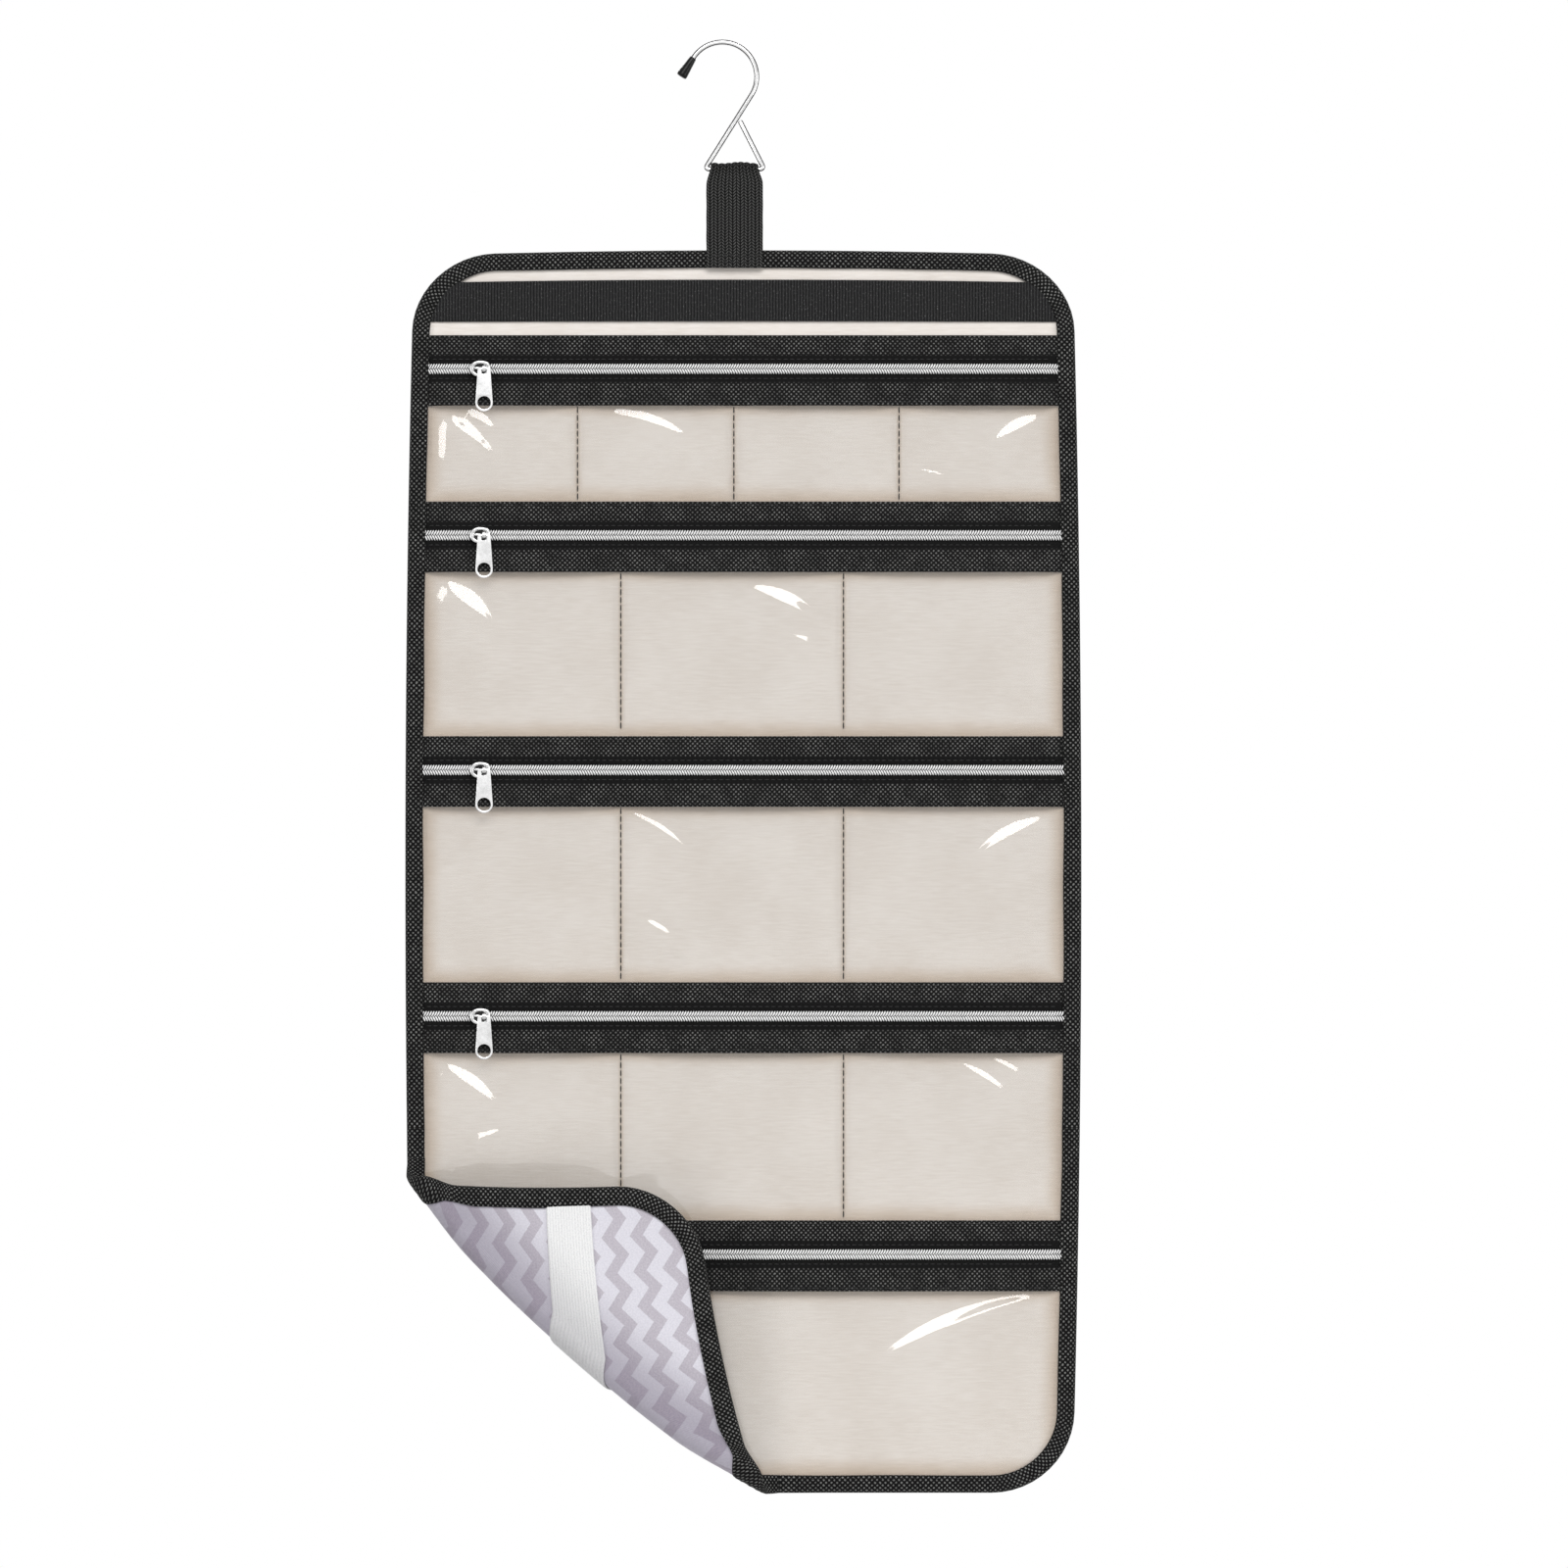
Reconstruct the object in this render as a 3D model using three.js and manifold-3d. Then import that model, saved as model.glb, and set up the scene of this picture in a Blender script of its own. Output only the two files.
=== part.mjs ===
// Hanging jewelry roll: a wire hook, a webbing loop and a padded panel that folds in three.
// Millimetres, +Z up, the front of the panel faces -Y. The origin is the seat of the hook.
import * as THREE from 'three';
import { mergeVertices } from 'three/addons/utils/BufferGeometryUtils.js';
import Module from 'manifold-3d';

const wasm = await Module();
wasm.setup();

// Panel outline
const panelWidth = 302;
const panelHeight = 555;
const cornerRadius = 36;
const sideBow = 4; // how far each side draws in at its ends
const topCrown = 2.6; // how far the top edge drops towards its corners
const panelShift = 9.4; // from the hook's seat to the panel's middle line

// Layers, from the front of the lining backwards
const liningThickness = 0.6;
const paddingThickness = 2.4;
const shellThickness = 0.8;
const layerGap = 0.25;
const bindingThickness = 0.9;
const bindingWidth = 8.1;
const seamGap = 0.3; // between pieces that lie side by side

// Hook
const wireDiameter = 2.2;
const hookRadius = 15.4; // to the middle of the wire
const hookStartAngle = 147;
const hookEndAngle = -33;
const barDepth = 55.6; // from the seat down to the middle of the bar
const barLeft = -7.8;
const barRight = 18.8;
const barBend = 2.2;
const returnLegX = 7.9;
const returnLegHeight = 21.5; // from the bar up to the wire's cut end
const tipLength = 10;
const tipSmallRadius = 1.75;
const tipLargeRadius = 2.45;
const tipBoreDepth = 5.6;

// Webbing loop
const loopWidth = 25.4;
const loopTopWidth = 18;
const loopThickness = 1.2;
const loopDrop = 36.1; // from the middle of the bar to the panel's top edge
const loopOverlap = 7.9; // how far the loop reaches down over the panel

// Closure
const closureTop = 13.3;
const closureBottom = 31.9;
const closureThickness = 1.5;
const stripFromBottom = 48.4;
const stripWidth = 21;
const stripThickness = 0.6;

// Pocket rows: each one's share of the height below the closure, and the seams between its cells as
// shares of the panel's width, from its middle line
const threeCells = [-0.181, 0.148];
const rows = [
  { share: 0.146, seams: [-0.245, -0.014, 0.23] },
  { share: 0.206, seams: threeCells },
  { share: 0.216, seams: threeCells },
  { share: 0.209, seams: threeCells },
  { share: 0.223, seams: [] },
];
const closureToRows = 6.2;
const upperBandWidth = 12.9;
const zipTapeHalf = 2.2; // from the coil's middle to each band's edge
const lowerBandWidth = 14.2;
const bandThickness = 0.9;
const tapeThickness = 0.6;
const tapeLift = 1.2; // space behind the tape for the zipper's inner side
const coilHeight = 4.3;
const coilThickness = 1.5;
const windowThickness = 0.5;
const windowLift = 4.5; // room in a cell, from the lining to the window
const windowRise = 8; // how far from a seam the window has its full lift

// Sliders and pulls
const sliderLength = 9;
const sliderHeight = 7.3;
const sliderWall = 1;
const sliderFromEdge = 33.6; // from the panel's left side to the slider's middle
const hiddenSliderFromCrease = 14.5; // the last slider lies under the turned corner
const bailShift = 1.9;
const bailWidth = 1.6;
const bailHole = 1.6;
const bailHeight = 2.15;
const bailWall = 0.7;
const pullThickness = 1;
const pullTopWidth = 5.7;
const pullEyeBar = 0.9;
const pullSlotWidth = 2.2;
const pullSlotLength = 1.95;
const pullRingDrop = 15.3; // from the eye bar's middle to the ring's middle
const pullRingRadius = 3.85;
const pullHoleRadius = 2.9;

// Folds
const foldGap = 0.3;
const cornerFoldAngle = 42; // degrees below level
const cornerFoldDistance = 97.1; // from the sharp lower left corner to the crease
const cornerFoldRadius = 5.5; // at the front of the lining
const cornerCutGap = 0.4; // between the two halves of the turned edge, at the front of the lining
const pocketFoldGap = 1; // the pocket pieces stop this far from the bend

// Worked out from the sizes above
const panelTop = -(barDepth + loopDrop);
const layersThickness = liningThickness + paddingThickness + shellThickness + 2 * layerGap;
const layerInset = bindingThickness + seamGap;
const pocketInset = bindingWidth + seamGap;
const loopShift = (barLeft + barRight) / 2;
const wireRadius = wireDiameter / 2;
const bendLength = Math.PI * cornerFoldRadius;
const radians = Math.PI / 180;
const creaseDown = { x: Math.cos(cornerFoldAngle * radians), d: Math.sin(cornerFoldAngle * radians) };
const creaseOut = { x: -creaseDown.d, d: creaseDown.x };

const rowsTop = closureBottom + closureToRows;
const rowsHeight = panelHeight - pocketInset - rowsTop;
let shareAbove = 0;
rows.forEach((row, index) => {
  const last = index === rows.length - 1;
  row.bandTop = rowsTop + rowsHeight * shareAbove;
  row.zip = row.bandTop + upperBandWidth + zipTapeHalf;
  shareAbove += row.share;
  row.windowBottom = rowsTop + rowsHeight * shareAbove - (last ? 0 : seamGap);
});
const upperFold = rows[1].zip - zipTapeHalf; // over the second row's zipper
const lowerFold = rows[3].zip + zipTapeHalf + lowerBandWidth; // over the fourth row's window

const group = new THREE.Group();

function material(color, roughness, metalness = 0) {
  return new THREE.MeshStandardMaterial({ color: new THREE.Color(...color), roughness, metalness });
}

const finishes = {
  wire: material([0.62, 0.62, 0.62], 0.3, 1),
  rubber: material([0.02, 0.02, 0.02], 0.6),
  webbing: material([0.03, 0.03, 0.03], 0.85),
  shell: material([0.6, 0.57, 0.66], 0.9),
  padding: material([0.8, 0.8, 0.78], 0.95),
  lining: material([0.78, 0.72, 0.66], 0.8),
  binding: material([0.03, 0.03, 0.03], 0.85),
  closure: material([0.025, 0.025, 0.025], 0.95),
  band: material([0.03, 0.03, 0.03], 0.85),
  tape: material([0.02, 0.02, 0.02], 0.8),
  coil: material([0.75, 0.75, 0.75], 0.35, 0.6),
  window: material([0.85, 0.85, 0.83], 0.1),
  slider: material([0.8, 0.8, 0.8], 0.2, 1),
  strip: material([0.85, 0.85, 0.85], 0.9),
};

function add(name, geometry, finish) {
  const mesh = new THREE.Mesh(geometry, finishes[finish]);
  mesh.name = name;
  group.add(mesh);
  return mesh;
}

// Panel coordinates: x from the panel's middle line, d down from its top edge, n forward of the lining
function toSpace([x, d, n]) {
  return [x + panelShift, -n, panelTop - d];
}

function creaseDistance(x, d) {
  const out = (x + panelWidth / 2) * creaseOut.x + (d - panelHeight) * creaseOut.d;
  return cornerFoldDistance + bendLength / 2 + out;
}

// How far the turned edge begins from the panel's left side, at a depth d
function creaseFromSide(d) {
  const atSide = cornerFoldDistance + bendLength / 2 + (d - panelHeight) * creaseOut.d;
  return -atSide / creaseOut.x;
}

// Wraps a point of the flat panel round the turned edge
function curl([x, d, n]) {
  const flat = creaseDistance(x, d);
  if (flat <= 0) {
    return [x, d, n];
  }
  const angle = Math.min(flat / cornerFoldRadius, Math.PI);
  const beyond = Math.max(flat - bendLength, 0);
  const along = (cornerFoldRadius - n) * Math.sin(angle) - beyond;
  const forward = cornerFoldRadius - (cornerFoldRadius - n) * Math.cos(angle);
  return [x + (along - flat) * creaseOut.x, d + (along - flat) * creaseOut.d, forward];
}

function stay(point) {
  return point;
}

function halfWidthAt(d) {
  const fromMiddle = (2 * d) / panelHeight - 1;
  return panelWidth / 2 - sideBow * fromMiddle * fromMiddle;
}

function crownAt(x, d) {
  const across = (2 * x) / panelWidth;
  return topCrown * across * across * Math.max(0, 1 - d / cornerRadius);
}

// Points along the panel's edge, each with the direction in which it is inset
function corner(side, end, turns = 7) {
  const middle = end < 0 ? cornerRadius : panelHeight - cornerRadius;
  const points = [];
  for (let i = 0; i <= turns; i += 1) {
    const angle = (i / turns) * 90 * radians;
    const d = middle + end * cornerRadius * Math.sin(angle);
    const x = side * (halfWidthAt(d) - cornerRadius * (1 - Math.cos(angle)));
    points.push({ x, d: d + crownAt(x, d), ix: -side * Math.cos(angle), id: -end * Math.sin(angle) });
  }
  return points;
}

function side(sign, from, to, steps = 5) {
  const points = [];
  for (let i = 0; i <= steps; i += 1) {
    const d = from + ((to - from) * i) / steps;
    points.push({ x: sign * halfWidthAt(d), d, ix: -sign, id: 0 });
  }
  return points;
}

function topEdge(steps = 8) {
  const reach = halfWidthAt(0) - cornerRadius;
  const points = [];
  for (let i = 1; i < steps; i += 1) {
    const x = reach * ((2 * i) / steps - 1);
    points.push({ x, d: crownAt(x, 0), ix: 0, id: 1 });
  }
  return points;
}

// The panel's outline, drawn in by an inset, as a list of [x, d]
function outline(inset) {
  const sideStart = cornerRadius;
  const sideEnd = panelHeight - cornerRadius;
  const stations = [
    ...topEdge(),
    ...corner(1, -1).reverse(),
    ...side(1, sideStart, sideEnd, 10).slice(1, -1),
    ...corner(1, 1),
    ...corner(-1, 1).reverse(),
    ...side(-1, sideEnd, sideStart, 10).slice(1, -1),
    ...corner(-1, -1),
  ];
  return stations.map((p) => [p.x + inset * p.ix, p.d + inset * p.id]);
}

// Keeps the part of a polygon where value(x, d) is at least 0
function clip(polygon, value) {
  const kept = [];
  polygon.forEach((p, i) => {
    const q = polygon[(i + 1) % polygon.length];
    const a = value(...p);
    const b = value(...q);
    if (a >= 0) {
      kept.push(p);
    }
    if ((a > 0 && b < 0) || (a < 0 && b > 0)) {
      const t = a / (a - b);
      kept.push([p[0] + t * (q[0] - p[0]), p[1] + t * (q[1] - p[1])]);
    }
  });
  return kept;
}

function between(polygon, top, bottom) {
  const below = clip(polygon, (x, d) => d - top);
  return clip(below, (x, d) => bottom - d);
}

function mainSide(polygon, limit) {
  return clip(polygon, (x, d) => limit - creaseDistance(x, d));
}

function cornerSide(polygon, limit) {
  return clip(polygon, (x, d) => creaseDistance(x, d) - limit);
}

function volume(positions) {
  let total = 0;
  for (let i = 0; i < positions.length; i += 9) {
    const [ax, ay, az, bx, by, bz, cx, cy, cz] = positions.slice(i, i + 9);
    total += ax * (by * cz - bz * cy) + ay * (bz * cx - bx * cz) + az * (bx * cy - by * cx);
  }
  return total / 6;
}

// Makes a closed body from a flat list of triangle corners, turned so that its faces point out
function body(triangles) {
  let positions = triangles.flat(2);
  if (volume(positions) < 0) {
    positions = triangles.map(([a, b, c]) => [a, c, b]).flat(2);
  }
  const geometry = new THREE.BufferGeometry();
  geometry.setAttribute('position', new THREE.Float32BufferAttribute(positions, 3));
  return mergeVertices(geometry, 1e-4);
}

// A flat layer of the panel from back to front, laid round the turned edge where it reaches that far
function layer(polygon, back, front, place = stay, breaks = []) {
  const strips = [];
  let rest = polygon;
  for (const limit of breaks) {
    strips.push(mainSide(rest, limit));
    rest = cornerSide(rest, limit);
  }
  strips.push(rest);
  const onBreak = (p) => breaks.findIndex((limit) => Math.abs(creaseDistance(...p) - limit) < 1e-6);
  const point = (p, n) => toSpace(place([...p, n]));
  const triangles = [];
  for (const strip of strips) {
    for (let i = 1; i < strip.length - 1; i += 1) {
      const fan = [strip[0], strip[i], strip[i + 1]];
      triangles.push(fan.map((p) => point(p, front)));
      triangles.push(fan.reverse().map((p) => point(p, back)));
    }
    strip.forEach((p, i) => {
      const q = strip[(i + 1) % strip.length];
      if (onBreak(p) >= 0 && onBreak(p) === onBreak(q)) {
        return;
      }
      triangles.push([point(p, front), point(p, back), point(q, back)]);
      triangles.push([point(p, front), point(q, back), point(q, front)]);
    });
  }
  return body(triangles);
}

// The binding's U section as [inset, n], open towards the panel
function bindingSection() {
  const frontIn = layerGap;
  const frontOut = frontIn + bindingThickness;
  const backIn = -layersThickness - layerGap;
  const backOut = backIn - bindingThickness;
  const bevel = bindingThickness / 2;
  return [
    [bevel, frontOut],
    [bindingWidth, frontOut],
    [bindingWidth, frontIn],
    [bindingThickness, frontIn],
    [bindingThickness, backIn],
    [bindingWidth, backIn],
    [bindingWidth, backOut],
    [bevel, backOut],
    [0, backOut + bevel],
    [0, frontOut - bevel],
  ];
}

// Joins rings of points, all drawn from one section, into a closed body
function sweep(section, ringsOf) {
  const flat = section.map((p) => new THREE.Vector2(...p));
  const ordered = THREE.ShapeUtils.area(flat) > 0 ? section : [...section].reverse();
  const caps = THREE.ShapeUtils.triangulateShape(ordered.map((p) => new THREE.Vector2(...p)), []);
  const rings = ringsOf(ordered);
  const first = rings[0];
  const last = rings[rings.length - 1];
  const triangles = [];
  caps.forEach(([a, b, c]) => {
    triangles.push([first[a], first[c], first[b]]);
    triangles.push([last[a], last[b], last[c]]);
  });
  rings.slice(1).forEach((next, i) => {
    const ring = rings[i];
    ring.forEach((p, j) => {
      const k = (j + 1) % ring.length;
      triangles.push([p, ring[k], next[k]], [p, next[k], next[j]]);
    });
  });
  return body(triangles);
}

// Sweeps the binding along stations, each an edge point with the direction of its inset
function binding(stations, place = stay) {
  const at = (s, [inset, n]) => toSpace(place([s.x + inset * s.ix, s.d + inset * s.id, n]));
  return sweep(bindingSection(), (section) => stations.map((s) => section.map((p) => at(s, p))));
}

function asSolid(geometry) {
  const bare = geometry.clone();
  bare.deleteAttribute('normal');
  bare.deleteAttribute('uv');
  const merged = mergeVertices(bare, 1e-5);
  return new wasm.Manifold(
    new wasm.Mesh({
      numProp: 3,
      vertProperties: new Float32Array(merged.attributes.position.array),
      triVerts: new Uint32Array(merged.index.array),
    }),
  );
}

function asGeometry(solid) {
  const mesh = solid.getMesh();
  const geometry = new THREE.BufferGeometry();
  geometry.setAttribute('position', new THREE.Float32BufferAttribute(mesh.vertProperties, 3));
  geometry.setIndex(Array.from(mesh.triVerts));
  return geometry;
}

// Shell, padding and lining of one stretch of the panel
function layers(name, cut, place = stay, breaks = []) {
  const area = cut(outline(layerInset));
  const liningBack = -liningThickness;
  const paddingFront = liningBack - layerGap;
  const paddingBack = paddingFront - paddingThickness;
  const shellFront = paddingBack - layerGap;
  add(`${name}_lining`, layer(area, liningBack, 0, place, breaks), 'lining');
  add(`${name}_padding`, layer(area, paddingBack, paddingFront, place, breaks), 'padding');
  add(`${name}_shell`, layer(area, shellFront - shellThickness, shellFront, place, breaks), 'shell');
}

const bendSteps = 6; // facets in each half of the turned edge
const cutLimit = bendLength / 2;
const nearLimit = cutLimit - cornerCutGap / 2;
const farLimit = cutLimit + cornerCutGap / 2;
const nearBreaks = [];
const farBreaks = [];
for (let i = 0; i < bendSteps; i += 1) {
  nearBreaks.push((nearLimit * i) / bendSteps);
  farBreaks.push(farLimit + ((bendLength - farLimit) * (i + 1)) / bendSteps);
}

function buildPanels() {
  const halfGap = foldGap / 2;
  layers('top', (area) => between(area, -1, upperFold - halfGap));
  layers('middle', (area) => between(area, upperFold + halfGap, lowerFold - halfGap));
  const bottom = (area) => mainSide(between(area, lowerFold + halfGap, panelHeight), nearLimit);
  layers('bottom', bottom, curl, nearBreaks);
  layers('corner', (area) => cornerSide(area, farLimit), curl, farBreaks);
}

// Where a line beside the crease meets the panel's left side and its bottom edge
function leftStation(flat) {
  const base = cornerFoldDistance + bendLength / 2;
  let d = panelHeight;
  for (let i = 0; i < 4; i += 1) {
    const x = panelWidth / 2 - halfWidthAt(d);
    d = panelHeight + (flat - base - x * creaseOut.x) / creaseOut.d;
  }
  return { x: -halfWidthAt(d), d, ix: 1, id: creaseDown.d / creaseDown.x };
}

function bottomStation(flat) {
  const base = cornerFoldDistance + bendLength / 2;
  const x = (flat - base) / creaseOut.x - panelWidth / 2;
  return { x, d: panelHeight, ix: -creaseDown.x / creaseDown.d, id: -1 };
}

function buildBindings() {
  const halfGap = foldGap / 2;
  const topEnd = upperFold - halfGap;
  const middleStart = upperFold + halfGap;
  const middleEnd = lowerFold - halfGap;
  const bottomStart = lowerFold + halfGap;
  const sideEnd = panelHeight - cornerRadius;
  const top = [
    ...side(-1, topEnd, cornerRadius, 3).slice(0, -1),
    ...corner(-1, -1),
    ...topEdge(),
    ...corner(1, -1).reverse(),
    ...side(1, cornerRadius, topEnd, 3).slice(1),
  ];
  add('top_binding', binding(top), 'binding');
  add('middle_binding_left', binding(side(-1, middleStart, middleEnd)), 'binding');
  add('middle_binding_right', binding(side(1, middleStart, middleEnd)), 'binding');

  const nearBend = [...nearBreaks, nearLimit];
  const farBend = [farLimit, ...farBreaks];
  const leftEnd = leftStation(0).d - bindingWidth;
  const left = [...side(-1, bottomStart, leftEnd, 2), ...nearBend.map(leftStation)];
  add('bottom_binding_left', binding(left, curl), 'binding');
  const right = [
    ...side(1, bottomStart, sideEnd, 4).slice(0, -1),
    ...corner(1, 1),
    { x: bottomStation(0).x + 2 * bindingWidth, d: panelHeight, ix: 0, id: -1 },
    ...nearBend.map(bottomStation),
  ];
  add('bottom_binding_right', binding(right, curl), 'binding');
  const turned = [
    ...farBend.map(leftStation),
    ...corner(-1, 1),
    ...farBend.map(bottomStation).reverse(),
  ];
  add('corner_binding', binding(turned, curl), 'binding');
}

function buildClosure() {
  const inner = outline(pocketInset);
  const band = between(inner, closureTop, closureBottom);
  add('closure_band', layer(band, layerGap, layerGap + closureThickness), 'closure');
  const stripBottom = panelHeight - stripFromBottom;
  const strip = between(inner, stripBottom - stripWidth, stripBottom);
  const front = -layersThickness - layerGap;
  const back = front - stripThickness;
  const main = mainSide(strip, nearLimit);
  add('back_strip', layer(main, back, front, curl, nearBreaks), 'strip');
  const turned = cornerSide(strip, farLimit);
  add('corner_strip', layer(turned, back, front, curl, farBreaks), 'strip');
}

// A zipper coil: a half-round ridge on the tape
function coil(row, polygon) {
  const xs = polygon.map((p) => p[0]);
  const low = Math.min(...xs);
  const high = Math.max(...xs);
  const base = tapeLift + tapeThickness + layerGap;
  const shape = new THREE.Shape();
  shape.moveTo(-coilHeight / 2, 0);
  shape.lineTo(coilHeight / 2, 0);
  for (let i = 1; i < 6; i += 1) {
    const angle = (i / 6) * Math.PI;
    shape.lineTo((coilHeight / 2) * Math.cos(angle), coilThickness * Math.sin(angle));
  }
  const geometry = new THREE.ExtrudeGeometry(shape, { depth: high - low, bevelEnabled: false });
  // The extrusion runs along +X, with the ridge's height towards the front
  const turn = new THREE.Matrix4().makeBasis(
    new THREE.Vector3(0, 0, 1),
    new THREE.Vector3(0, -1, 0),
    new THREE.Vector3(1, 0, 0),
  );
  geometry.applyMatrix4(turn);
  geometry.translate(low + panelShift, -base, panelTop - row.zip);
  return geometry;
}

// The clear front of a row: it lifts off the lining in each cell and dips to it at the seams
function windowSheet(row, top, bottom) {
  const reach = Math.min(halfWidthAt(top), halfWidthAt(bottom)) - pocketInset;
  const walls = [-reach, ...row.seams.map((seam) => seam * panelWidth), reach];
  const xs = [];
  walls.slice(0, -1).forEach((wall, i) => {
    xs.push({ x: wall, lift: 0 });
    xs.push({ x: wall + windowRise, lift: 1 });
    xs.push({ x: walls[i + 1] - windowRise, lift: 1 });
  });
  xs.push({ x: reach, lift: 0 });
  const topLift = (tapeLift - layerGap) / (windowLift - layerGap);
  const ds = [
    { d: top, lift: topLift },
    { d: top + windowRise, lift: 1 },
    { d: bottom - windowRise, lift: 1 },
    { d: bottom, lift: 0 },
  ];
  const back = (a, b) => layerGap + (windowLift - layerGap) * Math.min(a.lift, b.lift);
  const at = (i, j, n) => toSpace([xs[i].x, ds[j].d, back(xs[i], ds[j]) + n]);
  const triangles = [];
  const quad = (a, b, c, e) => triangles.push([a, b, c], [a, c, e]);
  for (let i = 0; i < xs.length - 1; i += 1) {
    for (let j = 0; j < ds.length - 1; j += 1) {
      const front = (u, v) => at(u, v, windowThickness);
      const rear = (u, v) => at(u, v, 0);
      quad(front(i, j), front(i, j + 1), front(i + 1, j + 1), front(i + 1, j));
      quad(rear(i, j), rear(i + 1, j), rear(i + 1, j + 1), rear(i, j + 1));
    }
  }
  const rim = [];
  xs.forEach((x, i) => rim.push([i, 0]));
  ds.slice(1).forEach((d, j) => rim.push([xs.length - 1, j + 1]));
  xs.slice(1).forEach((x, i) => rim.push([xs.length - 2 - i, ds.length - 1]));
  ds.slice(2).forEach((d, j) => rim.push([0, ds.length - 2 - j]));
  rim.forEach((p, i) => {
    const q = rim[(i + 1) % rim.length];
    quad(at(...p, windowThickness), at(...q, windowThickness), at(...q, 0), at(...p, 0));
  });
  return body(triangles);
}

// Trims a body to an area of the panel
function trim(geometry, area) {
  const room = layer(area, -windowLift, 4 * windowLift);
  return asGeometry(asSolid(geometry).intersect(asSolid(room)));
}

function buildPockets() {
  const inner = outline(pocketInset);
  rows.forEach((row, index) => {
    const number = index + 1;
    const folded = number >= 4;
    const part = (polygon) => (folded ? mainSide(polygon, -pocketFoldGap) : polygon);
    const zipTop = row.zip - zipTapeHalf;
    const zipBottom = row.zip + zipTapeHalf;
    const windowTop = zipBottom + lowerBandWidth;
    const upper = part(between(inner, row.bandTop, zipTop));
    const rise = (tapeLift - layerGap) / (zipTop - row.bandTop);
    const slope = ([x, d, n]) => [x, d, n + rise * (d - row.bandTop)];
    add(`upper_band_${number}`, layer(upper, layerGap, layerGap + bandThickness, slope), 'band');
    const tape = part(between(inner, zipTop + seamGap, zipBottom - seamGap));
    add(`zipper_tape_${number}`, layer(tape, tapeLift, tapeLift + tapeThickness), 'tape');
    add(`zipper_coil_${number}`, coil(row, tape), 'coil');
    const lower = part(between(inner, zipBottom, windowTop));
    add(`lower_band_${number}`, layer(lower, tapeLift, tapeLift + bandThickness), 'band');
    const sheet = windowSheet(row, windowTop + seamGap, row.windowBottom);
    add(`window_${number}`, folded ? trim(sheet, part(inner)) : sheet, 'window');
  });
  const last = rows[rows.length - 1];
  const start = bendLength + pocketFoldGap;
  const pocket = cornerSide(between(inner, last.bandTop, panelHeight), start);
  add('corner_pocket', layer(pocket, layerGap, layerGap + bandThickness, curl), 'band');
}

function box(width, depth, height, x, y, z) {
  const geometry = new THREE.BoxGeometry(width, depth, height);
  geometry.translate(x, y, z);
  return asSolid(geometry);
}

const coilFront = tapeLift + tapeThickness + layerGap + coilThickness;
const sliderBack = tapeLift + bandThickness + seamGap;
const sliderFront = coilFront + seamGap + sliderWall;
const eyeForward = sliderFront + bailHole / 2 - 0.1;

// Upright outlines are drawn in x and z and pushed back along +Y from the given front
function upright(shape, depth, front) {
  const geometry = new THREE.ExtrudeGeometry(shape, { depth, bevelEnabled: false, curveSegments: 10 });
  geometry.rotateX(Math.PI / 2);
  geometry.translate(0, -front + depth, 0);
  return geometry;
}

function sliderGeometry() {
  const oval = new THREE.Shape();
  oval.absellipse(0, 0, sliderLength / 2, sliderHeight / 2, 0, 2 * Math.PI, false);
  const plate = asSolid(upright(oval, sliderFront - sliderBack, sliderFront));
  const channelTop = coilFront + seamGap;
  const channel = box(2 * sliderLength, 2 * channelTop, coilHeight + 2 * seamGap, 0, 0, 0);
  const outer = 2 * (bailHole / 2 + bailWall + 0.1);
  const bail = box(bailWidth, bailHeight + 0.2, outer, bailShift, -(sliderFront + bailHeight / 2 - 0.1), 0);
  const holeDepth = bailHeight - bailWall;
  const hole = box(2 * bailWidth, holeDepth, bailHole, bailShift, -(sliderFront + holeDepth / 2), 0);
  return asGeometry(plate.subtract(channel).add(bail.subtract(hole)));
}

function pullGeometry() {
  const top = pullEyeBar / 2;
  const half = pullTopWidth / 2;
  const shape = new THREE.Shape();
  shape.moveTo(-half, top);
  shape.lineTo(-pullRingRadius, -pullRingDrop);
  for (let i = 1; i <= 10; i += 1) {
    const angle = Math.PI + (i / 10) * Math.PI;
    shape.lineTo(pullRingRadius * Math.cos(angle), pullRingRadius * Math.sin(angle) - pullRingDrop);
  }
  shape.lineTo(half, top);
  const slot = new THREE.Path();
  slot.moveTo(-pullSlotWidth / 2, -top);
  slot.lineTo(pullSlotWidth / 2, -top);
  slot.lineTo(pullSlotWidth / 2, -top - pullSlotLength);
  slot.lineTo(-pullSlotWidth / 2, -top - pullSlotLength);
  const ring = new THREE.Path();
  ring.absarc(0, -pullRingDrop, pullHoleRadius, 0, 2 * Math.PI, true);
  shape.holes.push(slot, ring);
  return upright(shape, pullThickness, eyeForward + pullThickness / 2);
}

function buildSliders() {
  rows.forEach((row, index) => {
    const number = index + 1;
    const hidden = number === rows.length;
    const fromEdge = hidden ? creaseFromSide(row.zip) + hiddenSliderFromCrease : sliderFromEdge;
    const x = panelShift - panelWidth / 2 + fromEdge;
    const z = panelTop - row.zip;
    add(`slider_${number}`, sliderGeometry(), 'slider').position.set(x, 0, z);
    add(`slider_pull_${number}`, pullGeometry(), 'slider').position.set(x + bailShift, 0, z);
  });
}

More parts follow.
